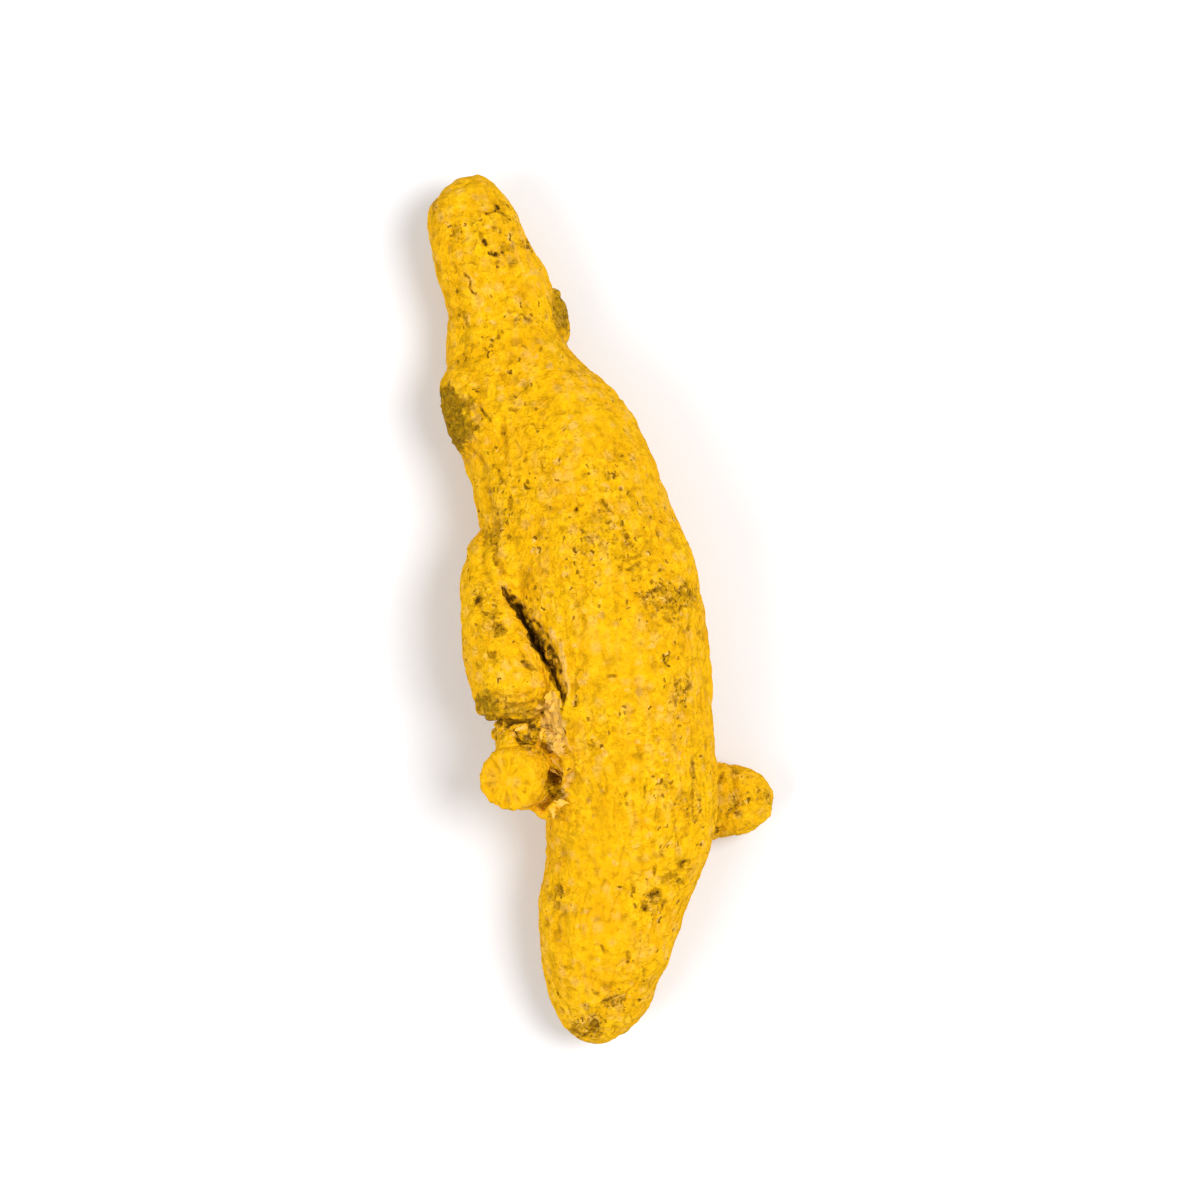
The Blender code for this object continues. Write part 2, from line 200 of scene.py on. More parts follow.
# The crack between finger and body: along, side, depth, and half widths to the finger's side and to the body's
CRACK = [
    (43.0, -1.75, 0.0, 0.10, 0.15),
    (41.7, -1.35, 0.7, 0.22, 0.45),
    (40.0, -0.55, 1.3, 0.30, 1.00),
    (38.2, 0.20, 1.6, 0.35, 1.35),
    (36.4, 1.00, 1.5, 0.35, 1.35),
    (34.7, 1.65, 1.2, 0.30, 1.15),
    (33.0, 2.10, 0.8, 0.22, 0.70),
    (31.8, 2.20, 0.4, 0.15, 0.32),
    (30.8, 2.25, 0.0, 0.10, 0.12),
]
CRACK_LOWEST = 9.5

# The crease round the nodule: its place on the side axis, where it starts to slant and how much
CREASE_SIDE = 16.7
CREASE_SLANT_FROM = 20.2
CREASE_SLANT = 0.65
CREASE_DEPTH = 0.18
CREASE_HALF_WIDTH = 0.3
NODULE_FROM = 13.8

# Scars, pits and olive tints: along, side and height of the middle, then half lengths along, side and height,
# depth, height of the rim and strength of the colour; a tint has no depth and no rim
SCARS_TINTS_AND_SHADE = [
    (58.3, -4.15, 8.5, 3.2, 2.7, 4.0, 0.20, 0.05, 1.0),
    (1.9, 0.9, 7.7, 0.6, 0.5, 1.1, 0.26, 0.16, 0.55),
    (24.7, 0.45, 12.9, 1.15, 0.72, 1.8, 1.40, 0.05, 1.0),
    (23.3, 0.85, 12.8, 0.85, 0.5, 1.7, 0.90, 0.03, 1.0),
    (19.3, 20.0, 3.0, 1.1, 0.9, 1.1, 0.12, 0.08, 0.8),
    # Tint on the bud, partly its own olive-brown and partly painted shade
    (66.5, 7.1, 5.0, 2.7, 1.3, 2.6, 0.0, 0.0, 0.75),
    (31.5, -2.0, 12.0, 1.4, 2.8, 3.5, 0.0, 0.0, 0.60),
    # Painted shade on the lower left of the finger's end
    (32.2, -4.3, 10.8, 1.7, 1.5, 4.0, 0.0, 0.0, 0.90),
    (46.0, 3.0, 0.6, 1.5, 1.7, 1.8, 0.40, 0.20, 0.7),
    (30.0, 14.2, 4.2, 1.6, 1.6, 1.7, 0.45, 0.22, 0.7),
    (52.0, 11.6, 5.0, 1.2, 1.2, 1.3, 0.35, 0.18, 0.6),
    (34.0, -0.6, 3.6, 1.3, 1.3, 1.4, 0.40, 0.20, 0.7),
]

# Marks on the side that the photograph shows: darkness, half width in millimetres and a line through photograph
# pixels; a line of one pixel is a dot. A few are painted shade: in the gap by the brim, and partly inside the pit
MARKS_AND_SHADE = [
    (1.0, 0.13, ((698, 312), (704, 309.5), (703.7, 306))), (0.9, 0.10, ((704, 309.5), (711.4, 315.2))),
    (0.6, 0.13, ((676.9, 326), (679.8, 322.8))), (1.0, 0.18, ((693.5, 325.5), (695, 328), (698.2, 331))),
    (0.9, 0.14, ((699.6, 335.6), (704.8, 337.6), (707.7, 336.5))), (0.7, 0.14, ((705, 342), (707, 341))),
    (0.9, 0.12, ((722.4, 328.5), (722, 331))), (0.5, 0.16, ((683, 343), (687, 342.5), (691.5, 343.3))),
    (0.8, 0.13, ((684.6, 349.6), (689, 353.5), (688.5, 357.5), (691.5, 360.8))),
    (0.6, 0.18, ((680.5, 369.4), (684, 373), (686.6, 379))), (0.5, 0.20, ((665.9, 300), (665.5, 306), (666, 311))),
    (0.6, 0.13, ((708, 354),)), (0.5, 0.12, ((710.6, 362.8),)), (0.5, 0.12, ((704.8, 364.2),)),
    (0.7, 0.14, ((722, 376), (724, 377))), (0.6, 0.14, ((702.6, 388.5),)), (0.6, 0.13, ((689.3, 392), (689.5, 396))),
    (0.6, 0.14, ((731.2, 394.3),)), (0.5, 0.14, ((720, 392.5), (722, 393.5))), (0.6, 0.13, ((706.3, 406.7),)),
    (0.6, 0.11, ((707, 409.5), (707.6, 414))),
    (0.75, 0.12, ((688.6, 424.6), (693.1, 428.2), (697.2, 433), (699.7, 438.6))),
    (0.6, 0.14, ((686.5, 427.4), (687.9, 438.6), (690.7, 447), (692, 449.8))),
    (0.7, 0.16, ((673, 418.6), (676, 419))),
    (0.9, 0.17, ((705, 619), (713, 620.2), (723, 619.4), (730, 617), (734.5, 612.5))),
    # Painted shadow in the gap at the brim's left end, then the pit's dark inside, partly its own brown and partly
    # painted shade
    (0.8, 0.26, ((702.5, 620), (706, 622.5))), (0.75, 0.26, ((737.5, 652), (740, 658), (743, 665))),
    (0.8, 0.24, ((735.5, 659), (737, 664), (741, 667.5))), (0.8, 0.16, ((741, 650), (744, 652.5))),
    (0.9, 0.24, ((703.5, 562.5), (706, 561.5), (709, 565))), (0.85, 0.22, ((700.5, 580), (704, 579))),
    (0.8, 0.28, ((721, 584.5), (725.5, 587.5))), (0.7, 0.24, ((675.3, 435.8),)), (0.6, 0.17, ((690.7, 458.2),)),
    (0.7, 0.14, ((712.5, 432.2), (716.5, 432.6))), (0.5, 0.13, ((724.7, 435.3),)),
    (0.6, 0.13, ((726, 440), (727.4, 443))), (0.6, 0.13, ((732.3, 444), (734, 441.8))),
    (0.5, 0.12, ((731.3, 449.1),)), (0.5, 0.13, ((707.9, 442), (707.9, 447))),
    (0.7, 0.12, ((721.6, 457.5), (721.8, 462.5))), (0.7, 0.12, ((731.5, 463.5), (732, 468.5))),
    (0.7, 0.12, ((703, 465), (705.5, 468.5))), (0.6, 0.12, ((706, 472), (709, 477))),
    (0.9, 0.18, ((712, 485), (712.8, 491))), (0.7, 0.14, ((719.1, 494),)), (0.6, 0.12, ((730.8, 480.7),)),
    (0.9, 0.15, ((752.8, 492.4),)), (0.5, 0.14, ((762, 466), (765, 469))), (0.8, 0.12, ((768, 487), (771, 490.5))),
    (0.7, 0.12, ((772, 492), (774.5, 495.5))), (0.8, 0.15, ((783.4, 508.3),)), (0.6, 0.13, ((790, 508.3),)),
    (0.7, 0.12, ((801, 506), (801.6, 511.5))), (0.6, 0.13, ((785.5, 524), (788.5, 521.5))),
    (0.6, 0.13, ((810.4, 529.2),)), (0.6, 0.13, ((762.4, 513.9),)), (0.4, 0.13, ((750, 513), (757, 512.5))),
    (0.7, 0.16, ((700.7, 508), (702, 515), (705, 526))), (0.9, 0.13, ((805.6, 580.5), (806.2, 584), (808.5, 586))),
    (0.6, 0.13, ((772, 592), (776.5, 592.3))), (0.5, 0.15, ((776, 609.5), (776, 613), (779.5, 613.5))),
    (0.4, 0.13, ((784.5, 609), (785.3, 613))), (0.8, 0.14, ((761, 633), (762.5, 634.2))),
    (0.6, 0.12, ((761.8, 636.6),)), (0.7, 0.14, ((753.4, 646.2),)), (0.6, 0.12, ((802.5, 631.4),)),
    (0.4, 0.12, ((793, 641.5), (797, 641))), (0.6, 0.13, ((807.4, 650.6),)), (0.6, 0.13, ((803.8, 656.9),)),
    (0.7, 0.12, ((793.4, 658), (794, 664.5))), (0.5, 0.11, ((778.3, 663), (778.6, 670))),
    (0.5, 0.11, ((782, 663), (782.3, 670))), (0.6, 0.14, ((807, 670.7),)), (0.8, 0.17, ((823.5, 645), (823.7, 653))),
    (0.6, 0.13, ((823.5, 661), (823.6, 667))), (0.6, 0.19, ((822.1, 677),)),
    (0.6, 0.12, ((812.8, 680), (812.6, 686))), (0.6, 0.13, ((807.4, 693),)),
    (0.7, 0.16, ((768.5, 756), (768.7, 760))), (0.7, 0.15, ((784.2, 760.5), (783.6, 766))),
    (0.6, 0.13, ((793.3, 769), (793.4, 774))), (0.6, 0.15, ((746, 770.5), (748, 769))),
    (0.5, 0.14, ((738.5, 769), (738.6, 773))), (0.55, 0.14, ((743.5, 796.5), (746.5, 800))),
    (0.6, 0.16, ((763, 783.5), (766.5, 786))), (0.8, 0.24, ((769, 791), (773.5, 789.5))),
    (0.8, 0.14, ((774.5, 793), (777.5, 791))), (0.6, 0.18, ((779, 790.5), (782, 789))),
    (0.7, 0.14, ((762.5, 809.5), (766.5, 810.5))), (0.6, 0.18, ((752, 809), (754, 811.5))),
    (0.8, 0.16, ((756.5, 813), (759.5, 811.5))), (0.6, 0.14, ((750.5, 806.5), (752.5, 806))),
    (0.5, 0.19, ((782.5, 805.7),)), (0.8, 0.20, ((740.5, 733.5), (742.5, 730))),
    (0.6, 0.16, ((743, 721.5), (743.6, 725.5))), (0.6, 0.15, ((740, 725), (739.6, 729))),
    (0.8, 0.18, ((800.2, 709.5), (800, 711.5))), (0.8, 0.20, ((815.8, 707.5), (818.5, 705))),
    (0.7, 0.16, ((820, 709.5), (821, 711))), (0.7, 0.20, ((808.5, 716), (812, 713.5))),
    (0.5, 0.20, ((803.5, 715), (806.5, 715.3))), (0.6, 0.17, ((815.5, 721.5), (817, 719))),
    (0.9, 0.22, ((797, 726), (801.5, 723.5))), (0.9, 0.22, ((793.5, 733), (794.8, 731.2))),
    (0.7, 0.16, ((804.3, 733), (806.8, 729.5))), (0.7, 0.18, ((787, 723.5), (787.6, 721))),
    (0.9, 0.19, ((799.5, 541.5), (803.5, 540.3))), (0.8, 0.20, ((793.5, 546), (796, 545.2))),
    (0.6, 0.19, ((793, 549.5), (795, 550.5))), (0.9, 0.16, ((812.8, 540.8), (815, 542.8))),
    (0.8, 0.15, ((808, 548.2), (809.6, 546.2))), (0.7, 0.16, ((809, 551), (811.5, 554.5))),
    (0.7, 0.15, ((814, 552.8), (816, 551.6))), (0.5, 0.20, ((806.5, 559.3), (810.5, 560.2))),
    (0.9, 0.16, ((818, 536), (820.3, 539), (822, 544.5))), (0.8, 0.18, ((816.5, 543), (819, 544.6))),
    (0.6, 0.17, ((819.5, 565), (821, 564))), (0.6, 0.20, ((827.3, 566.7),)),
    (0.5, 0.17, ((815, 565.5), (816.3, 564))), (0.6, 0.14, ((812, 593), (812.4, 599))),
    (0.6, 0.14, ((814.5, 595.5), (815.6, 599.5))), (0.6, 0.14, ((817, 603.5), (819.5, 600.5), (821.5, 598.5))),
    (0.6, 0.13, ((818.5, 591.5), (820.5, 593))), (0.5, 0.16, ((812.7, 606.2),)),
    (0.6, 0.15, ((784.8, 523), (785.8, 521.5))), (0.6, 0.14, ((786.5, 526.5), (789.5, 525.5))),
    (0.5, 0.14, ((785.5, 535.4), (788, 535.2))), (0.7, 0.14, ((784.2, 528.9), (785.2, 528.6))),
    (0.9, 0.30, ((693.0, 548.4), (693.8, 546))), (0.7, 0.12, ((699.2, 542.5),)),
    (0.5, 0.13, ((696.7, 554), (708.1, 555.4))), (0.8, 0.15, ((704, 563), (705.5, 566.6))),
    (0.6, 0.14, ((708, 562.6),)), (0.6, 0.26, ((703.5, 581),)), (0.6, 0.22, ((720.8, 581.5),)),
    (0.7, 0.14, ((734.5, 543.8), (736.5, 544.5))), (0.6, 0.14, ((746.6, 532.1),)), (0.6, 0.14, ((755.5, 533.3),)),
    (0.6, 0.13, ((761, 509.8), (762.7, 515))), (0.9, 0.15, ((842.5, 653), (840.5, 658))), (0.7, 0.20, ((850, 653),)),
    (0.7, 0.24, ((868.9, 666.7),)), (0.7, 0.26, ((850.5, 677.1),)), (0.5, 0.14, ((856.8, 665.3),)),
]

# Swells and dents on the side that the photograph shows: photograph pixel, radius and height in millimetres
SWELLS = [
    (812, 529, 2.6, 0.34), (800, 608, 2.8, 0.26), (792, 462, 2.2, 0.26), (806, 552, 1.9, -0.26),
    (797, 492, 2.0, -0.20), (770, 500, 3.4, 0.16), (752, 455, 3.0, 0.14), (815, 575, 1.8, -0.12),
    (826, 625, 2.4, 0.14), (757, 395, 2.0, -0.10), (700, 395, 2.2, 0.18), (690, 345, 2.0, 0.14),
    (712, 318, 2.4, 0.12), (758, 640, 2.6, 0.12), (780, 680, 3.2, 0.12), (803, 716, 2.0, -0.16),
    (775, 740, 3.2, 0.14), (748, 765, 2.2, 0.14), (785, 775, 2.2, -0.10), (740, 700, 2.0, -0.12),
    (700, 575, 1.6, 0.14), (712, 592, 1.6, 0.18), (697, 552, 1.4, -0.12), (724, 596, 1.4, 0.14),
    (764, 575, 2.4, -0.10), (860, 662, 1.8, 0.20), (858, 684, 1.6, 0.14),
]

# Furrows on the side that the photograph shows: depth and half width in millimetres, and photograph pixels
FURROWS = [
    (0.30, 0.55, ((694, 462), (697, 480), (702, 500), (704, 515), (708, 530))),
    (0.16, 0.35, ((707, 436), (708, 450), (710, 466))),
    (0.20, 0.20, ((704, 609), (712, 609.5), (720, 610), (728, 608.5), (733, 604))),
    (0.22, 0.20, ((710, 613.5), (720, 615.5), (726, 614), (732, 609.5), (735, 605))),
    (0.18, 0.18, ((699, 601), (708, 604), (718, 604.5), (727, 602))),
    (0.14, 0.40, ((823, 640), (823.5, 655), (822.5, 672), (821, 690))),
    (0.12, 0.45, ((745, 505), (760, 498), (775, 488), (790, 478))),
    (0.12, 0.40, ((750, 545), (757, 560), (757, 580), (752, 600))),
    (0.14, 0.40, ((742, 715), (744, 735), (741, 752))),
    (0.12, 0.35, ((760, 775), (770, 781), (782, 779))),
    (0.14, 0.35, ((676, 335), (679, 350), (683, 365))),
    (0.12, 0.35, ((690, 300), (697, 299), (706, 303))),
    (0.12, 0.40, ((830, 580), (831, 600), (829, 620))),
]

# Worn patches on the side that the photograph shows and, with a strength below nothing, calm ones: photograph
# pixel, radius in millimetres and strength
ROUGH = [
    (732, 358, 2.0, -0.8), (727, 392, 1.8, -0.6), (690, 300, 2.2, -0.5), (772, 442, 2.4, -0.7), (748, 425, 2.2, -0.5),
    (782, 590, 3.2, -0.6), (765, 570, 2.4, -0.6), (775, 645, 2.6, -0.5), (772, 700, 4.4, -0.9), (765, 742, 3.6, -0.9),
    (762, 772, 2.8, -0.9), (714, 655, 2.9, -0.9), (800, 470, 1.8, -0.6), (712, 590, 1.6, -0.5), (833, 600, 1.8, -0.5),
    (801, 546, 2.1, 0.9), (814, 546, 1.7, 0.9), (808, 556, 1.8, 0.7), (816, 600, 1.6, 0.9), (768, 508, 3.6, 0.65),
    (786, 528, 3.2, 0.6), (698, 548, 1.8, 0.7), (818, 707, 0.8, 0.7), (809, 715, 1.0, 0.8), (799, 727, 1.5, 0.85),
    (743, 727, 1.4, 0.9), (774, 790, 1.5, 0.9), (759, 807, 1.8, 1.0), (705, 505, 2.6, 0.6), (707, 475, 2.4, 0.5),
    (704, 565, 1.3, 0.8), (702, 583, 1.4, 0.8), (700, 325, 3.0, 0.5), (681, 323, 1.2, 0.8), (710, 337, 2.0, 0.6),
    (722, 329, 0.8, 0.8), (724, 377, 1.6, 0.7), (704, 385, 1.6, 0.5), (744, 365, 2.4, 1.0), (722, 547, 2.0, 0.5),
    (850, 672, 1.8, 0.7), (868, 668, 1.3, 0.8), (806, 582, 0.9, 0.8), (777, 611, 1.2, 0.7), (763, 636, 1.2, 0.7),
    (806, 655, 1.6, 0.5), (822, 670, 1.6, 0.7), (718, 611, 2.6, 0.5), (728, 630, 2.4, 0.9), (738, 575, 1.2, 0.7),
    (750, 545, 1.8, 0.4), (770, 765, 2.4, 0.4), (746, 775, 2.0, 0.5), (790, 690, 2.4, 0.4), (735, 470, 2.0, 0.5),
    (780, 470, 2.4, 0.35),
]

# Pale spots on the side that the photograph shows: photograph pixel and radius in millimetres
SPOTS = [
    (724.6, 348.1, 0.38), (713.9, 330.1, 0.45), (700, 320.2, 0.36), (702.6, 378.2, 0.32), (723, 376.7, 0.46),
    (720.6, 415.9, 0.45), (736.9, 404.7, 0.45), (751.2, 441.4, 0.48), (775.7, 502.7, 0.50), (728, 399, 0.35),
    (757, 480, 0.35), (741, 464, 0.32), (770, 478, 0.36), (746.6, 531, 0.42), (735.7, 542, 0.40), (722, 586, 0.42),
    (756, 595.7, 0.45), (790, 602, 0.40), (804, 612, 0.42), (798, 574, 0.36), (768, 556, 0.40), (782, 548, 0.34),
    (751, 575, 0.36), (770, 640, 0.38), (790, 632, 0.34), (815, 640, 0.45), (806, 641, 0.34), (760, 668, 0.38),
    (744, 700, 0.36), (776, 705, 0.42), (797, 712, 0.38), (759, 735, 0.36), (758, 793, 0.50), (764, 804, 0.60),
    (841, 669, 0.42), (690.5, 430, 0.50), (692, 436, 0.60), (712, 587, 0.45), (730, 614, 0.50), (781, 787.5, 0.35),
]

# Shreds that stand on the skin: photograph pixel, heading in degrees clockwise from up, length and half width in
# millimetres, how steeply it rises and how far it curls over, in degrees
SHREDS = [
    (736.5, 607.0, 25, 1.3, 0.42, 35, 50),
    (738.5, 613.0, 5, 0.8, 0.26, 40, 50),
    (744.0, 633.5, 62, 1.1, 0.22, 30, 20),
    (741.0, 629.0, 85, 0.8, 0.24, 35, 40),
    (739.5, 644.0, 140, 1.5, 0.16, 25, 20),
    (742.5, 650.0, 155, 0.8, 0.18, 35, 40),
    (743.5, 657.0, 115, 0.7, 0.22, 40, 50),
    (741.5, 669.0, 95, 1.1, 0.34, 22, 50),
    (738.0, 673.0, 165, 0.9, 0.26, 30, 40),
    (721.0, 623.5, 245, 1.0, 0.22, 20, 40),
    (733.0, 626.0, 200, 0.9, 0.24, 30, 50),
    (737.5, 649.0, 128, 1.0, 0.15, 20, 30),
]
SHRED_THICKNESS = 0.055
SHRED_RINGS = 20
SHRED_SEGMENTS = 18

# Height that a flake's foot is dropped from onto the skin
SHRED_DROP = 40.0

# Random marks and spots on the sides that the photograph doesn't show: how many, where along the root, and the seed
HIDDEN_MARKS = 520
HIDDEN_SPOTS = 260
HIDDEN_REACH = (1.0, 79.5)
HIDDEN_SEED = 41

# How far along the root from a mark or a spot its points are looked for
MARK_MARGIN = 1.5
HIDDEN_MARK_MARGIN = 2.0
FURROW_MARGIN = 2.5

# Rings and segments of the growths and of the sheath, and how strong the lobes of the smaller growths are
BODY_GRID = (300, 200)
GROWTH_GRID = (110, 110)
SHEATH_GRID = (160, 24)
GROWTH_LOBES = 0.6

# Fusing the growths, laying the underside down, and measuring how hollow a place is: size of a voxel, smoothing
# passes, how softly the underside flattens, and passes and depth that make a place fully hollow
VOXEL = 0.14
SMOOTH_PASSES = 9
REST_SOFTNESS = 0.2
HOLLOW_PASSES = 10
HOLLOW_DEPTH = 0.08

# Mean of the skin material's tone, about which calm skin is made even
MEAN_TONE = 0.89

# Relief of the skin: worn patches, torn tissue and the crack's rim
WORN_GRAINS = ((0.8, 0.075, 114), (0.4, 0.065, 115))
TORN_GRAINS = ((0.9, 0.32, 112), (0.42, 0.20, 113))
TORN_SHARE_OF_CORK = 0.5
CRACK_RIM_HEIGHT = 0.16


def to_frame(along, side, height):
    """A place on the root as x, y, z about the origin, in millimetres."""
    return np.stack([side - ORIGIN_SIDE, along - ORIGIN_ALONG, height], axis=-1)


def on_photo(pixels):
    """Along and side of photograph pixels: their offset from the foot, turned by the lean and scaled."""
    offset = (np.array(pixels, float) - FOOT_PIXEL) * (1, -1) * MM_PER_PIXEL
    lean = math.radians(LEAN_DEGREES)
    along = offset[:, 1] * math.cos(lean) - offset[:, 0] * math.sin(lean)
    side = offset[:, 1] * math.sin(lean) + offset[:, 0] * math.cos(lean)
    return np.stack([along, side], axis=-1)


def unit(vectors):
    return vectors / np.linalg.norm(vectors, axis=-1, keepdims=True)


def bell(values):
    """One at nothing, falling to nothing on both sides as exp(-x**2) does."""
    return np.exp(-(values**2))


def step_down(values, edge, width):
    """One below the edge and nothing above it, with a soft step between."""
    return 0.5 - 0.5 * np.tanh((values - edge) / (2 * width))


def smooth_between(knots, values, at):
    """Cubic curve through values at knots, read at the places in at; its slopes come from both neighbours."""
    slopes = np.gradient(values, knots, axis=0)
    left = np.clip(np.searchsorted(knots, at) - 1, 0, len(knots) - 2)
    span = knots[left + 1] - knots[left]
    t = ((at - knots[left]) / span)[:, None]
    span = span[:, None]
    return (
        (1 + 2 * t) * (1 - t) ** 2 * values[left]
        + t * (1 - t) ** 2 * span * slopes[left]
        + t**2 * (3 - 2 * t) * values[left + 1]
        - t**2 * (1 - t) * span * slopes[left + 1]
    )


def corner_value(cell, seed):
    """A repeatable number from -1 to 1 for each whole-numbered cell corner, from mixed integer products."""
    mixed = cell[..., 0] * 73856093 ^ cell[..., 1] * 19349663 ^ cell[..., 2] * 83492791 ^ seed * 2654435761
    mixed = (mixed ^ (mixed >> 13)) * 1274126177 & 0x7FFFFFFF
    return (mixed / 0x3FFFFFFF) - 1.0


def noise(points, seed):
    """Smooth noise from -1 to 1: corner values of the unit cell, blended by a smooth step on each axis."""
    base = np.floor(points).astype(np.int64)
    t = points - base
    t = t * t * (3 - 2 * t)
    total = np.zeros(len(points))
    for corner in np.ndindex(2, 2, 2):
        share = np.prod(np.where(corner, t, 1 - t), axis=1)
        total += share * corner_value(base + np.array(corner), seed)
    return total


def sweep(stations, rings, segments, lobe_scale=1.0):
    """Points of a growth: a function of the place along its path and the angle round it.

    The section at each place is an oval with a few lobes that turn along the path. Half sizes are smoothed as
    squares, so a growth that narrows to nothing has a round end, and the rings stand closer towards both ends.
    """
    table = np.array(stations, float)
    centres = to_frame(table[:, 0], table[:, 1], table[:, 2])
    knots = np.concatenate([[0.0], np.cumsum(np.linalg.norm(np.diff(centres, axis=0), axis=1))])
    place = knots[-1] * 0.5 * (1 - np.cos(np.linspace(0.0, math.pi, rings + 2)[1:-1]))
    path = smooth_between(knots, centres, place)
    halves = np.sqrt(np.maximum(smooth_between(knots, table[:, 3:] ** 2, place), 1e-4))
    ahead = unit(np.gradient(path, place, axis=0))
    across = unit(np.cross(ahead, [0.0, 0.0, 1.0]))
    above = np.cross(across, ahead)
    angle = np.linspace(0.0, 2 * math.pi, segments, endpoint=False)[None, :]
    turn = LOBE_TWIST * place[:, None]
    section = 1 + lobe_scale * sum(
        size * np.cos(count * (angle + turn) + phase) for count, size, phase in LOBES
    )
    grid = (
        path[:, None, :]
        + (halves[:, :1] * section * np.cos(angle))[..., None] * across[:, None, :]
        + (halves[:, 1:] * section * np.sin(angle))[..., None] * above[:, None, :]
    )
    return np.concatenate([centres[:1], grid.reshape(-1, 3), centres[-1:]])


def tube_faces(rings, segments):
    """Faces of a capped tube: a fan at each end point and quads between neighbouring rings."""
    grid = 1 + np.arange(rings * segments).reshape(rings, segments)
    beside = np.roll(grid, -1, axis=1)
    last = 1 + rings * segments
    start = np.stack([np.zeros(segments, int), beside[0], grid[0]], axis=-1)
    end = np.stack([np.full(segments, last), grid[-1], beside[-1]], axis=-1)
    quads = np.stack([grid[:-1], beside[:-1], beside[1:], grid[1:]], axis=-1).reshape(-1, 4)
    return start.tolist() + quads.tolist() + end.tolist()


def ring_faces(rings, segments):
    """Faces of a closed ring of sections, each joined to the next and the last to the first."""
    grid = np.arange(rings * segments).reshape(rings, segments)
    beside = np.roll(grid, -1, axis=1)
    quads = np.stack([grid, beside, np.roll(beside, -1, axis=0), np.roll(grid, -1, axis=0)], axis=-1)
    return quads.reshape(-1, 4).tolist()


def sheath_basis():
    """The sheath's centre, its normal and two directions across it, in the frame."""
    normal = unit(np.array(SHEATH_LEAN, float))
    first = unit(np.cross(normal, [0.0, 0.0, 1.0]))
    second = np.cross(normal, first)
    normal, first, second = (np.array([v[1], v[0], v[2]]) for v in (normal, first, second))
    return to_frame(*(np.array(v) for v in SHEATH_CENTRE)), normal, first, second


def sheath_line(turn):
    """Middle line of the sheath at angles round it: a circle whose radius and height rise and fall in waves."""
    centre, normal, first, second = sheath_basis()
    waves = sum(size * np.cos(count * turn + phase) for count, size, phase in SHEATH_WAVES)
    outward = np.cos(turn)[:, None] * first + np.sin(turn)[:, None] * second
    radius = SHEATH_RADIUS * (1 + waves)
    middle = centre + radius[:, None] * outward + (SHEATH_LIP * waves)[:, None] * normal
    return middle, outward, normal, waves


def sheath_ring(rings, segments):
    """Points of the sheath: a tall oval carried round its middle line, a function of two angles."""
    middle, outward, normal, waves = sheath_line(np.linspace(0.0, 2 * math.pi, rings, endpoint=False))
    angle = np.linspace(0.0, 2 * math.pi, segments, endpoint=False)
    thickness = SHEATH_THICKNESS * (1 + waves)
    points = (
        middle[:, None, :]
        + (thickness[:, None] * np.cos(angle))[..., None] * outward[:, None, :]
        + (SHEATH_DEPTH * thickness[:, None] * np.sin(angle))[..., None] * normal
    )
    return points.reshape(-1, 3)


def link_object(name, data):
    """An object for some data, put into the scene."""
    obj = bpy.data.objects.new(name, data)
    bpy.context.scene.collection.objects.link(obj)
    return obj


def new_object(name, points_mm, faces):
    """A mesh object at the origin whose points are given in millimetres."""
    mesh = bpy.data.meshes.new(name)
    mesh.from_pydata((points_mm * MM).tolist(), [], faces)
    mesh.update()
    return link_object(name, mesh)


def apply_modifiers(obj):
    """Replaces the object's mesh with the mesh that its modifiers make."""
    graph = bpy.context.evaluated_depsgraph_get()
    shaped = bpy.data.meshes.new_from_object(obj.evaluated_get(graph))
    rough = obj.data
    obj.modifiers.clear()
    obj.data = shaped
    bpy.data.meshes.remove(rough)


def vertices_mm(obj):
    """Vertex places in millimetres, and vertex normals."""
    points = np.empty(len(obj.data.vertices) * 3)
    normals = np.empty(len(obj.data.vertices) * 3)
    obj.data.vertices.foreach_get("co", points)
    obj.data.vertex_normals.foreach_get("vector", normals)
    return points.reshape(-1, 3) / MM, normals.reshape(-1, 3)


def fused_growths():
    """One closed skin over all the growths: a voxel remesh of their joined meshes, then smoothing passes."""
    parts = [(sweep(BODY, *BODY_GRID), tube_faces(*BODY_GRID))]
    for stations in (FINGER, WEB, STUB, JOINT, BRIM, PEAK, NODULE, BUD, SCAR_MOUND):
        parts.append((sweep(stations, *GROWTH_GRID, GROWTH_LOBES), tube_faces(*GROWTH_GRID)))
    parts.append((sheath_ring(*SHEATH_GRID), ring_faces(*SHEATH_GRID)))
    starts = np.cumsum([0] + [len(points) for points, _ in parts])
    faces = [[start + v for v in face] for (_, own), start in zip(parts, starts) for face in own]
    fused = new_object("root_skin", np.concatenate([points for points, _ in parts]), faces)
    remesh = fused.modifiers.new("fuse", "REMESH")
    remesh.mode = "VOXEL"
    remesh.voxel_size = VOXEL * MM
    smooth = fused.modifiers.new("smooth", "SMOOTH")
    smooth.factor = 0.5
    smooth.iterations = SMOOTH_PASSES
    apply_modifiers(fused)
    return fused


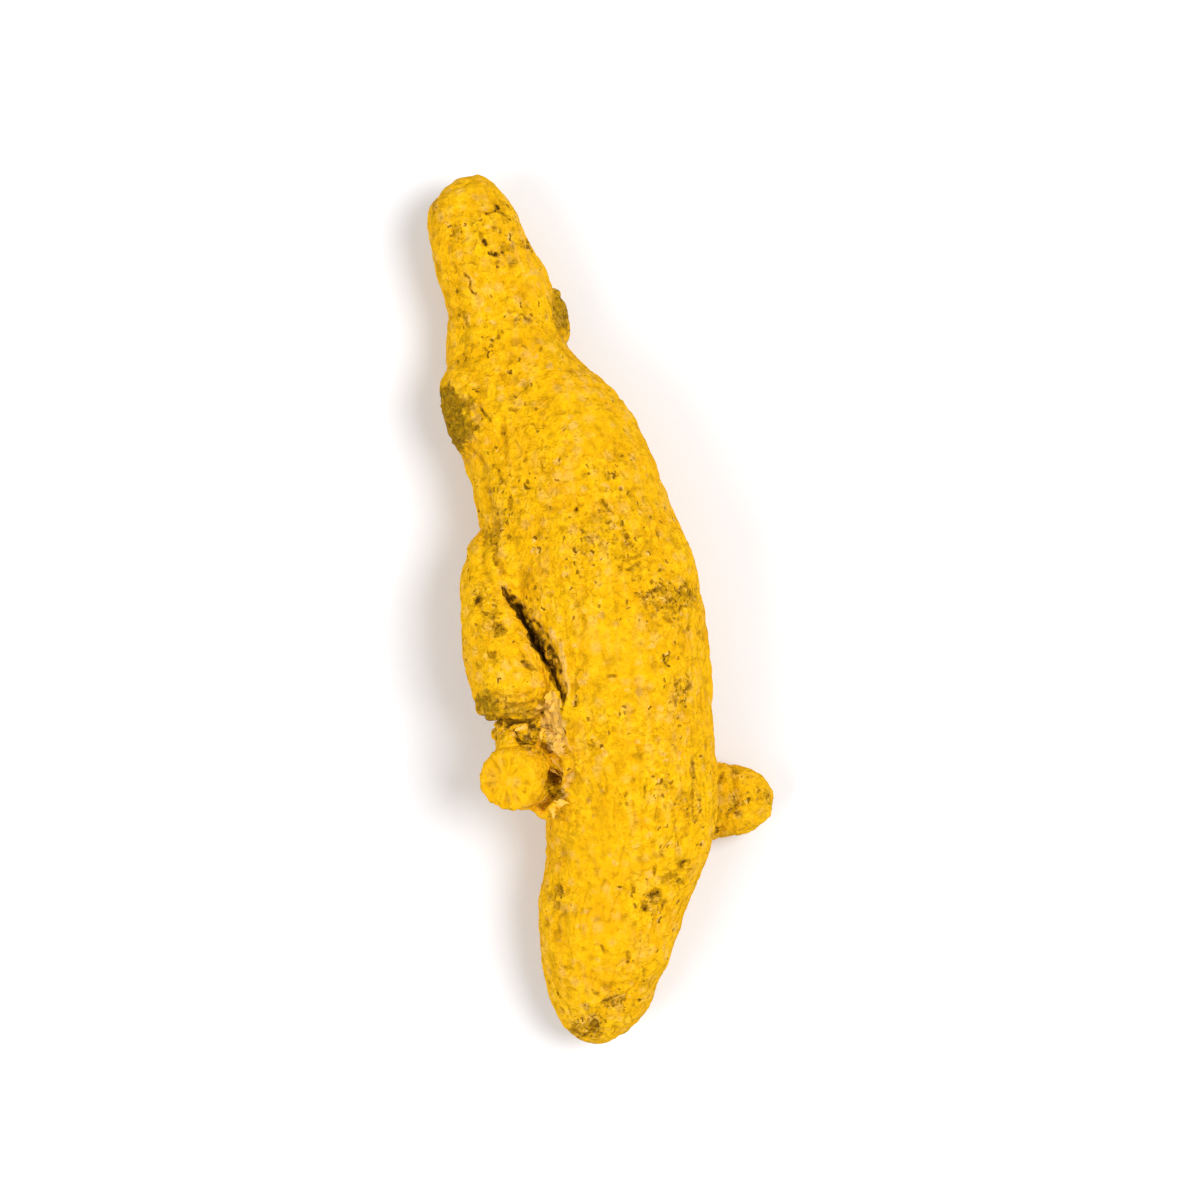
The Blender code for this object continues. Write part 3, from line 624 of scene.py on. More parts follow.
class Skin:
    """Places on the root in the terms that relief and masks are worked out in, each an array over the points."""

    def __init__(self, points, normals):
        self.points = points
        self.along = points[:, 1] + ORIGIN_ALONG
        self.side = points[:, 0] + ORIGIN_SIDE
        self.height = points[:, 2]
        table = np.array(BODY, float)
        inside = np.clip(self.along, table[0, 0], table[-1, 0])
        self.axis = smooth_between(table[:, 0], table[:, 1:3], inside)
        across, above = self.side - self.axis[:, 0], self.height - self.axis[:, 1]
        self.unrolled = np.arctan2(across, above) * np.hypot(across, above)
        self.order = np.argsort(self.along)
        self.sorted_along = self.along[self.order]
        # One where the skin is seen from above, and nothing on the sides and below
        self.facing_up = step_down(-normals[:, 2], -0.12, 0.06) * step_down(-self.height, -2.2, 0.3)

    def noise(self, size, *seeds):
        """Noise with lumps of a size in millimetres: a value for one seed, or a column for each of several."""
        fields = [noise(self.points / size, seed) for seed in seeds]
        return np.stack(fields, axis=-1) if len(fields) > 1 else fields[0]

    def stretched(self, across, lengthwise):
        """Places about the body's axis, divided by a size across it and a size along it."""
        sides = ((self.side - self.axis[:, 0]) / across, (self.height - self.axis[:, 1]) / across)
        return np.stack([sides[0], self.along / lengthwise, sides[1]], axis=-1)

    def near(self, low, high):
        """Indexes of the points whose place along the root is between two values."""
        first, last = np.searchsorted(self.sorted_along, [low, high])
        return self.order[first:last]

    def near_pixel(self, x, y, reach):
        """Indexes of the points within a reach along the root of a photograph pixel, and their distance from it."""
        (along, side), = on_photo([(x, y)])
        index = self.near(along - reach, along + reach)
        return index, np.hypot(self.along[index] - along, self.side[index] - side)

    def share_of_oval(self, middle, halves):
        """Distance from an oval's middle as a share of its half lengths along, side and height."""
        offsets = zip((self.along, self.side, self.height), middle, halves)
        return np.sqrt(sum(((values - centre) / half) ** 2 for values, centre, half in offsets))


def distance_to_line(places, line):
    """Distance of places to a line of points, in the plane that both are given in."""
    nearest = np.hypot(*(places - line[0]).T)
    for start, end in zip(line[:-1], line[1:]):
        step = end - start
        share = np.clip((places - start) @ step / (step @ step), 0.0, 1.0)
        nearest = np.minimum(nearest, np.hypot(*(places - start - share[:, None] * step).T))
    return nearest


def crack_fields(skin):
    """Depth of the crack, and masks of its gap, where painted shade goes, of its torn slope and of the rim beyond,
    each from 0 to 1.

    The gap is steep on the finger's side. The slope rises from it to the body's side, over a width that the line's
    stations give, and noise makes both ragged.
    """
    line = np.array(CRACK, float)
    places = np.stack([skin.along, skin.side], axis=-1)
    places = places + 0.22 * skin.noise(0.9, 61, 62)
    places = places + 0.20 * skin.noise(0.45, 65, 66)
    nearest = np.full(len(places), np.inf)
    across = np.zeros(len(places))
    row = np.zeros((len(places), 3))
    for start, end in zip(line[:-1], line[1:]):
        step = end[:2] - start[:2]
        share = np.clip((places - start[:2]) @ step / (step @ step), 0.0, 1.0)
        gap = places - start[:2] - share[:, None] * step
        far = np.hypot(*gap.T)
        closer = far < nearest
        sign = np.sign(gap @ np.array([step[1], -step[0]]))
        nearest = np.where(closer, far, nearest)
        across = np.where(closer, sign * far, across)
        row = np.where(closer[:, None], start[2:] + share[:, None] * (end[2:] - start[2:]), row)
    depth, left, right = row.T
    widen = bpy.context.scene.turmeric_skin.crack_width_factor
    outward = np.where(across < 0, -across / left, across / right) / widen
    to_body = across > 0
    top = step_down(-skin.height, -CRACK_LOWEST, 0.3) * np.clip(depth / 0.3, 0.0, 1.0)
    wall = step_down(outward, 0.85, 0.06)
    incline = np.clip(1 - outward, 0.0, 1.0) ** 0.8
    bumps = 0.55 * skin.noise(0.6, 63) + 0.40 * skin.noise(0.32, 64)
    floor = top * depth * np.where(to_body, incline * (1 + bumps), wall)
    # Mask of the gap's painted shade, dark on the finger's side and ragged on the slope
    dark = top * np.where(to_body, step_down(outward + 0.8 * bumps, 0.26, 0.08), step_down(outward, 1.0, 0.06))
    slope = top * np.where(to_body, step_down(outward, 0.95, 0.06), 0.0)
    broken = step_down(-skin.noise(0.8, 67), 0.15, 0.08)
    rim = top * broken * np.where(to_body, bell((outward - 1.15) / 0.28), 0.0)
    return floor, dark, slope, rim


def body_radius(along):
    """Half width of the body at a place along it."""
    return float(np.interp(along, [row[0] for row in BODY], [row[3] for row in BODY]))


def mark_and_shade_fields(skin):
    """Depth and darkness of the marks: grooves along short lines, drawn from above or round the root. A few drawn
    from above are painted shade.

    The photograph's marks are laid straight down on what faces up. The rest are drawn by a seeded generator, as
    short lines in the plane of the place along the root and the distance round it.
    """
    depth = np.zeros(len(skin.points))
    dark = np.zeros(len(skin.points))
    wobble = 0.09 * skin.noise(0.3, 71)
    bend = 0.17 * skin.noise(0.8, 72, 73)
    bend += 0.11 * skin.noise(0.35, 75, 76)
    uneven = 0.85 + 0.35 * skin.noise(0.5, 74)

    def engrave(index, line, across, half_width, strength, shown):
        places = np.stack([skin.along[index], across[index]], axis=-1) + bend[index]
        far = distance_to_line(places, line) + wobble[index]
        groove = shown * uneven[index] * bell(far / (1.35 * half_width))
        depth[index] = np.maximum(depth[index], groove * (0.05 + 0.9 * half_width) * strength)
        dark[index] = np.maximum(dark[index], groove * strength)

    for strength, half_width, pixels in MARKS_AND_SHADE:
        line = on_photo(pixels)
        index = skin.near(line[:, 0].min() - MARK_MARGIN, line[:, 0].max() + MARK_MARGIN)
        engrave(index, line, skin.side, half_width, strength, skin.facing_up[index])

    random = np.random.default_rng(HIDDEN_SEED)
    for _ in range(HIDDEN_MARKS):
        start = np.array([random.uniform(*HIDDEN_REACH), random.uniform(-math.pi, math.pi)])
        radius = body_radius(start[0])
        lengthwise = random.random() < np.interp(start[0], [20.0, 50.0], [0.7, 0.35])
        heading = random.normal(0.0 if lengthwise else 0.5 * math.pi, 0.35)
        length = random.uniform(0.2, 1.1)
        start[1] *= radius
        end = start + length * np.array([math.cos(heading), math.sin(heading)])
        half_width = random.uniform(0.10, 0.17)
        strength = random.uniform(0.35, 0.9)
        index = skin.near(start[0] - HIDDEN_MARK_MARGIN, start[0] + HIDDEN_MARK_MARGIN)
        engrave(index, np.array([start, end]), skin.unrolled, half_width, strength, 1 - skin.facing_up[index])
    return depth, dark


def spot_fields(skin):
    """Paleness and depth of the spots: shallow dishes with uneven edges."""
    pale = np.zeros(len(skin.points))
    relief = np.zeros(len(skin.points))
    wobble = 0.28 * skin.noise(0.45, 81) + 0.16 * skin.noise(0.22, 82)

    def dish(index, far, radius, shown):
        share = (far + wobble[index]) / radius
        pale[index] = np.maximum(pale[index], shown * step_down(share, 0.75, 0.16))
        relief[index] -= shown * 0.035 * step_down(share, 0.7, 0.16)

    for x, y, radius in SPOTS:
        index, far = skin.near_pixel(x, y, MARK_MARGIN)
        dish(index, far, radius, skin.facing_up[index])

    random = np.random.default_rng(HIDDEN_SEED + 1)
    for _ in range(HIDDEN_SPOTS):
        along = random.uniform(*HIDDEN_REACH)
        around = body_radius(along) * random.uniform(-math.pi, math.pi)
        index = skin.near(along - MARK_MARGIN, along + MARK_MARGIN)
        far = np.hypot(skin.along[index] - along, skin.unrolled[index] - around)
        dish(index, far, random.uniform(0.25, 0.5), 1 - skin.facing_up[index])
    return pale, relief


def placed_relief(skin):
    """Swells, dents and furrows laid straight down at their photograph places, as soft bells."""
    relief = np.zeros(len(skin.points))
    for x, y, radius, height in SWELLS:
        index, far = skin.near_pixel(x, y, 2.5 * radius)
        relief[index] += height * bell(far / radius)
    bend = 0.25 * skin.noise(1.1, 85, 86)
    for depth, half_width, pixels in FURROWS:
        line = on_photo(pixels)
        index = skin.near(line[:, 0].min() - FURROW_MARGIN, line[:, 0].max() + FURROW_MARGIN)
        places = np.stack([skin.along[index], skin.side[index]], axis=-1) + bend[index]
        relief[index] -= depth * bell(distance_to_line(places, line) / half_width)
    return skin.facing_up * relief


def rough_mask(skin):
    """How rough the skin is: worn and calm patches at given places above, and patches of noise on the other sides."""
    worn = np.zeros(len(skin.points))
    calm = np.zeros(len(skin.points))
    wobble = 0.45 * skin.noise(1.4, 121) + 0.35 * skin.noise(0.7, 123)
    for x, y, radius, strength in ROUGH:
        index, far = skin.near_pixel(x, y, 1.6 * radius)
        patch = strength * step_down(far / radius + wobble[index], 0.85, 0.14)
        field = worn if strength > 0 else calm
        field[index] = np.where(np.abs(patch) > np.abs(field[index]), patch, field[index])
    scattered = 0.8 * step_down(-skin.noise(3.6, 122), -0.28, 0.07)
    return skin.facing_up * (worn + calm) + (1 - skin.facing_up) * scattered


def scar_tint_and_shade_fields(skin):
    """Depth and mask of the scars and tints: sunken ovals with rims, and fine ridges on their floors; the tint on the
    finger's lower left is painted shade, and the one on the bud partly.
    """
    relief = np.zeros(len(skin.points))
    mask = np.zeros(len(skin.points))
    wobble = 0.26 * skin.noise(0.9, 91) + 0.22 * skin.noise(0.35, 93)
    grain = skin.noise(0.45, 92)
    for *place, depth, rim, colour in SCARS_TINTS_AND_SHADE:
        far = wobble + skin.share_of_oval(place[:3], place[3:])
        floor = step_down(far, 0.8, 0.08)
        relief -= depth * floor
        relief += rim * bell((far - 1.05) / 0.2)
        relief += 0.09 * floor * grain
        mask = np.maximum(mask, colour * step_down(far, 0.98, 0.10))
    return relief, mask


def base_relief(skin):
    """Lumps, node rings, wrinkles across the root, furrows along it and fine knobbles, in millimetres."""
    settings = bpy.context.scene.turmeric_skin
    out = sum(size * skin.noise(lump, 3 + n) for n, (lump, size) in enumerate(LUMPS))
    wander = RING_WANDER * skin.noise(RING_WANDER_SIZE, 11)
    slanted = skin.along + RING_SLANT * (skin.side - skin.axis[:, 0]) + wander
    rings = sum(bell((slanted - at) / RING_HALF_LENGTH) for at in NODE_RINGS)
    patches = skin.noise(RING_PATCH_SIZE, 17)
    out += settings.ring_height / MM * rings * (RING_EVEN_SHARE + RING_PATCH_SHARE * patches)
    out += sum(size * skin.noise(lump, 21 + n) for n, (lump, size) in enumerate(KNOBBLES))
    warp = 0.5 * skin.noise(2.5, 31, 32, 33)
    crosswise = 1 - np.abs(noise(skin.stretched(2.6, 0.75) + warp, 34))
    lengthwise = 1 - np.abs(noise(skin.stretched(0.70, 3.4) + warp, 35))
    high = np.clip((skin.along - 20.0) / 35.0, 0.0, 1.0)
    patch = np.clip(0.5 + 0.9 * skin.noise(4.5, 36), 0.0, 1.0)
    out -= settings.wrinkle_depth / MM * crosswise**5 * patch * (0.35 + 0.65 * high)
    out -= settings.wrinkle_depth / MM * lengthwise**5 * (1.1 - 0.8 * high) * (1.2 - patch)
    return out + finger_end_relief(skin)


def finger_end_relief(skin):
    """Rings of wrinkles round the finger's rounded end, drawn in towards its middle."""
    along, side, height = FINGER[-1][:3]
    far = np.sqrt((skin.along - along) ** 2 + (0.8 * (skin.side - side)) ** 2 + (0.6 * (skin.height - height)) ** 2)
    far += 0.35 * skin.noise(1.4, 37)
    near = step_down(far, 3.9, 0.25) * step_down(-skin.along, -along, 0.2) * step_down(skin.side, 1.6, 0.2)
    return 0.15 * near * np.cos(2 * math.pi * far / 0.85)


def stub_relief(skin):
    """Fine rays on the stub's end and a low rim round it, seen from its middle."""
    along, side, height = STUB[-1][:3]
    x, y = skin.along - along, skin.side - side
    far = np.hypot(x, y)
    on_stub = step_down(far, 2.9, 0.1) * step_down(-skin.height, -(height - 1.6), 0.2)
    spread = np.arctan2(x, y)
    rays = np.cos(13 * spread + 2.0 * skin.noise(1.5, 96)) + 0.6 * np.cos(29 * spread)
    return on_stub * (0.045 * rays * np.clip(far / 1.5, 0.0, 1.0) + 0.12 * bell((far - 2.3) / 0.3))


def cork_mask(skin):
    """How much a place is torn sheath: near the sheath's ring, and on the web between finger, stub and body."""
    centre, normal, first, second = sheath_basis()
    offset = skin.points - centre
    flat = np.hypot(offset @ first, offset @ second)
    far = np.hypot(flat - SHEATH_RADIUS, 0.8 * (offset @ normal)) + 0.3 * skin.noise(0.8, 101)
    ring = step_down(far, 0.50, 0.15) * step_down(-skin.side, 1.4, 0.4)
    web = np.hypot((skin.along - 29.6) / 3.2, (skin.side - 1.1) / 1.15)
    web += 0.35 * skin.noise(0.8, 102) + 0.2 * skin.noise(0.35, 104)
    return np.maximum(0.6 * ring, step_down(web, 0.9, 0.10) * step_down(-skin.height, -9.0, 0.4))


def torn_mask(skin):
    """How much a place is broken tissue, between the finger's end and the stub."""
    far = skin.share_of_oval((29.5, -2.4, 11.0), (1.9, 2.6, 3.2))
    return step_down(far + 0.3 * skin.noise(0.9, 103), 0.95, 0.08)


def smoothed(obj, points, passes):
    """Points moved towards the middle of their neighbours, pass after pass."""
    edges = np.empty(len(obj.data.edges) * 2, np.int32)
    obj.data.edges.foreach_get("vertices", edges)
    ends = edges.reshape(-1, 2)
    one, other = np.concatenate([ends[:, 0], ends[:, 1]]), np.concatenate([ends[:, 1], ends[:, 0]])
    count = np.bincount(one, minlength=len(points))[:, None]
    for _ in range(passes):
        total = np.stack([np.bincount(one, points[other, axis], len(points)) for axis in range(3)], axis=-1)
        points = total / count
    return points


def store(obj, name, values):
    """Keeps a number for each vertex, which the material reads by name."""
    layer = obj.data.attributes.new(name, "FLOAT", "POINT")
    layer.data.foreach_set("value", values.astype(np.float32))


def crease_depth(skin):
    """A narrow fold round the nodule, slanted towards the foot."""
    fold = skin.side - CREASE_SIDE + CREASE_SLANT * np.maximum(0.0, CREASE_SLANT_FROM - skin.along)
    fold += 0.25 * skin.noise(1.2, 111)
    return CREASE_DEPTH * (bell(fold / CREASE_HALF_WIDTH) * step_down(-skin.side, -NODULE_FROM, 0.2))


def shape_skin(obj):
    """Moves the fused skin by every relief along its normals, then lays its underside on the surface."""
    points, normals = vertices_mm(obj)
    skin = Skin(points, normals)
    relief = base_relief(skin)
    scar_relief, _ = scar_tint_and_shade_fields(skin)
    _, spot_relief = spot_fields(skin)
    mark_depth, _ = mark_and_shade_fields(skin)
    crack_floor, _, _, crack_rim = crack_fields(skin)
    torn = np.maximum(TORN_SHARE_OF_CORK * cork_mask(skin), torn_mask(skin))
    relief += scar_relief + spot_relief + stub_relief(skin) - mark_depth - crease_depth(skin)
    relief += placed_relief(skin)
    relief += rough_mask(skin) * sum(size * skin.noise(lump, seed) for lump, size, seed in WORN_GRAINS)
    torn_relief = torn * sum(size * skin.noise(lump, seed) for lump, size, seed in TORN_GRAINS)
    relief += torn_relief + CRACK_RIM_HEIGHT * crack_rim
    points = points + relief[:, None] * normals
    points[:, 2] -= crack_floor
    points[:, 2] = REST_SOFTNESS * np.logaddexp(0.0, points[:, 2] / REST_SOFTNESS)
    obj.data.vertices.foreach_set("co", (points * MM).ravel())
    obj.data.update()


def store_masks(obj):
    """Keeps what the material needs: marks, spots, scars, torn tissue, the crack, and how hollow each place is."""
    points, normals = vertices_mm(obj)
    skin = Skin(points, normals)
    _, scars_tints_and_shade = scar_tint_and_shade_fields(skin)
    pale, _ = spot_fields(skin)
    _, dark = mark_and_shade_fields(skin)
    _, gap, slope, rim = crack_fields(skin)
    inwards = (smoothed(obj, points, HOLLOW_PASSES) - points) * normals
    # Marks, and painted shade in the crack's gap
    store(obj, "marks_and_shade", np.maximum(dark, gap))
    store(obj, "spot", pale)
    store(obj, "scars_tints_and_shade", scars_tints_and_shade)
    store(obj, "torn", np.maximum(slope, torn_mask(skin)))
    store(obj, "cork", np.maximum(cork_mask(skin), rim))
    store(obj, "rough", rough_mask(skin))
    # How hollow or raised each place is; the material paints shade into hollows and a highlight onto raised places
    store(obj, "hollow", np.clip(inwards.sum(axis=1) / HOLLOW_DEPTH, -1.0, 1.0))


def add_node(tree, kind, inputs=(), **properties):
    """A shader node with its properties set, and its inputs set or linked: each is a name or number and a value."""
    node = tree.nodes.new(kind)
    for name, value in properties.items():
        setattr(node, name, value)
    for socket, value in inputs:
        if isinstance(value, bpy.types.NodeSocket):
            tree.links.new(value, node.inputs[socket])
        else:
            node.inputs[socket].default_value = value
    return node


def maths(tree, operation, *values, clamp=False):
    node = add_node(tree, "ShaderNodeMath", enumerate(values), operation=operation, use_clamp=clamp)
    return node.outputs[0]


def vector_maths(tree, operation, *values):
    node = add_node(tree, "ShaderNodeVectorMath", enumerate(values), operation=operation)
    return node.outputs["Value" if operation in ("LENGTH", "DOT_PRODUCT") else "Vector"]


def scaled(tree, vector, factor):
    node = add_node(tree, "ShaderNodeVectorMath", ((0, vector), ("Scale", factor)), operation="SCALE")
    return node.outputs["Vector"]


def blend_colours(tree, share, first, second):
    """A colour between two, each a link or three channels."""
    first, second = (c if isinstance(c, bpy.types.NodeSocket) else (*c, 1.0) for c in (first, second))
    return add_node(tree, "ShaderNodeMix", ((0, share), (6, first), (7, second)), data_type="RGBA").outputs[2]


def noise_value(tree, vector, scale, detail=2.0, roughness=0.5, distortion=0.0):
    inputs = {"Vector": vector, "Scale": scale, "Detail": detail, "Roughness": roughness, "Distortion": distortion}
    return add_node(tree, "ShaderNodeTexNoise", inputs.items()).outputs["Fac"]


def ramp(tree, value, low, high):
    """A smooth rise from nothing at low to one at high, or a fall where low is above high."""
    inputs = (("Value", value), ("From Min", low), ("From Max", high))
    return add_node(tree, "ShaderNodeMapRange", inputs, interpolation_type="SMOOTHSTEP").outputs["Result"]


def new_group(name, outputs, **inputs):
    """A shader node group: names of its outputs, and its inputs with their defaults. Place is a vector."""
    tree = bpy.data.node_groups.new(name, "ShaderNodeTree")
    for way, sockets in (("INPUT", inputs), ("OUTPUT", outputs)):
        for socket in sockets:
            kind = "NodeSocketVector" if socket == "Place" else "NodeSocketFloat"
            made = tree.interface.new_socket(socket, in_out=way, socket_type=kind)
            if inputs.get(socket) is not None and way == "INPUT":
                made.default_value = inputs[socket]
    return tree, tree.nodes.new("NodeGroupInput").outputs, tree.nodes.new("NodeGroupOutput").inputs


def use_group(tree, name, **inputs):
    """Outputs of a node group that is placed in a tree, with its inputs set or linked."""
    return add_node(tree, "ShaderNodeGroup", inputs.items(), node_tree=bpy.data.node_groups[name]).outputs


def millimetre_group():
    """Object coordinates in millimetres."""
    tree, _, out = new_group("millimetres", ("Place",))
    place = tree.nodes.new("ShaderNodeTexCoord").outputs["Object"]
    tree.links.new(vector_maths(tree, "MULTIPLY", place, (1 / MM,) * 3), out["Place"])


def powder_group():
    """Fine dry powder: how high it lies, in millimetres, and how light it is, from three sizes of noise."""
    tree, given, out = new_group("powder", ("Height", "Tone"), Place=None, Grain=0.16)
    fine = noise_value(tree, given["Place"], maths(tree, "DIVIDE", 1.0, given["Grain"]), 3.0, 0.6)
    middle = noise_value(tree, given["Place"], maths(tree, "DIVIDE", 0.4, given["Grain"]), 2.0, 0.55)
    broad = noise_value(tree, given["Place"], maths(tree, "DIVIDE", 0.12, given["Grain"]), 2.0, 0.5)
    low = maths(tree, "MULTIPLY_ADD", middle, 0.06, maths(tree, "MULTIPLY", fine, 0.035))
    tone = maths(tree, "MULTIPLY_ADD", middle, 0.45, maths(tree, "MULTIPLY", fine, 0.55))
    tree.links.new(maths(tree, "MULTIPLY_ADD", broad, 0.06, low), out["Height"])
    tree.links.new(tone, out["Tone"])


def pebble_group():
    """Fine uneven skin: heights from bent noise of a given size in millimetres, and masks of low and high places."""
    tree, given, out = new_group("pebbles", ("Height", "Low", "High"), Place=None, Size=0.5)
    value = noise_value(tree, given["Place"], maths(tree, "DIVIDE", 1.0, given["Size"]), 3.0, 0.55, 0.7)
    tree.links.new(value, out["Height"])
    tree.links.new(ramp(tree, value, 0.48, 0.34), out["Low"])
    tree.links.new(ramp(tree, value, 0.56, 0.68), out["High"])


def bent_cells(tree, place, cell, scale, amount):
    """A cell pattern of a given size whose places are moved by noise, and those places as shares of a cell."""
    shrunk = vector_maths(tree, "DIVIDE", place, cell)
    bend = add_node(tree, "ShaderNodeTexNoise", (("Vector", shrunk), ("Scale", scale), ("Detail", 2.0)))
    bent = vector_maths(tree, "ADD", shrunk, scaled(tree, bend.outputs["Color"], amount))
    return add_node(tree, "ShaderNodeTexVoronoi", (("Vector", bent), ("Scale", 1.0))).outputs, bent


def fleck_group():
    """Short dry cracks and a lip beside each: in a cell of a pattern, a thin short slab, turned its own way.

    A place is in a fleck where its distance from the cell's plane is under the width and its distance from the
    cell's middle is under the reach, both as shares of a cell. Only a share of the cells holds one.
    """
    tree, given, out = new_group("flecks", ("Mask", "Lip"), Place=None, Cell=1.0, Width=0.06, Reach=0.4, Share=0.5)
    cells, bent = bent_cells(tree, given["Place"], given["Cell"], 2.6, 0.5)
    offset = vector_maths(tree, "SUBTRACT", bent, cells["Position"])
    facing = vector_maths(tree, "NORMALIZE", vector_maths(tree, "SUBTRACT", cells["Color"], (0.5, 0.5, 0.5)))
    aside = maths(tree, "DIVIDE", vector_maths(tree, "DOT_PRODUCT", offset, facing), given["Width"])
    thin = ramp(tree, maths(tree, "ABSOLUTE", aside), 1.0, 0.35)
    beside = ramp(tree, maths(tree, "ABSOLUTE", maths(tree, "SUBTRACT", aside, 1.6)), 0.9, 0.3)
    reach = maths(tree, "DIVIDE", vector_maths(tree, "LENGTH", offset), given["Reach"])
    split = add_node(tree, "ShaderNodeSeparateColor", (("Color", cells["Color"]),))
    chosen = maths(tree, "LESS_THAN", split.outputs["Red"], given["Share"])
    placed = maths(tree, "MULTIPLY", ramp(tree, reach, 1.0, 0.75), chosen)
    tree.links.new(maths(tree, "MULTIPLY", thin, placed), out["Mask"])
    tree.links.new(maths(tree, "MULTIPLY", beside, placed), out["Lip"])


def dot_group():
    """Round spots: in a share of the cells of a pattern, a ball of its own radius about the cell's middle."""
    tree, given, out = new_group("dots", ("Mask",), Place=None, Cell=1.5, Radius=0.25, Share=0.4)
    cells, _ = bent_cells(tree, given["Place"], given["Cell"], 3.5, 0.6)
    split = add_node(tree, "ShaderNodeSeparateColor", (("Color", cells["Color"]),))
    radius = maths(tree, "MULTIPLY", given["Radius"], maths(tree, "ADD", split.outputs["Green"], 0.5))
    share = maths(tree, "DIVIDE", cells["Distance"], radius)
    chosen = maths(tree, "LESS_THAN", split.outputs["Red"], given["Share"])
    tree.links.new(maths(tree, "MULTIPLY", ramp(tree, share, 1.1, 0.2), chosen), out["Mask"])


def ragged_group():
    """A mask with its edge broken into grains: noise of a given size is added before it rises from low to high."""
    tree, given, out = new_group(
        "ragged", ("Mask",), Place=None, Mask=0.0, Size=0.3, Amount=1.2, Low=0.35, High=0.60
    )
    grain = noise_value(tree, given["Place"], maths(tree, "DIVIDE", 1.0, given["Size"]), 2.0, 0.6)
    moved = maths(tree, "MULTIPLY_ADD", maths(tree, "SUBTRACT", grain, 0.5), given["Amount"], given["Mask"])
    tree.links.new(ramp(tree, moved, given["Low"], given["High"]), out["Mask"])


def attribute(tree, name):
    return add_node(tree, "ShaderNodeAttribute", attribute_name=name).outputs["Fac"]


def new_material(name):
    """A material with its node tree, Principled BSDF and the place in millimetres."""
    material = bpy.data.materials.new(name)
    material.use_nodes = True
    tree = material.node_tree
    return material, tree, tree.nodes["Principled BSDF"], use_group(tree, "millimetres")["Place"]


def add_bump(tree, shader, height):
    """Leads a height in millimetres to the shader's normal."""
    bump = add_node(tree, "ShaderNodeBump", (("Height", height), ("Strength", 1.0), ("Distance", MM)))
    tree.links.new(bump.outputs["Normal"], shader.inputs["Normal"])


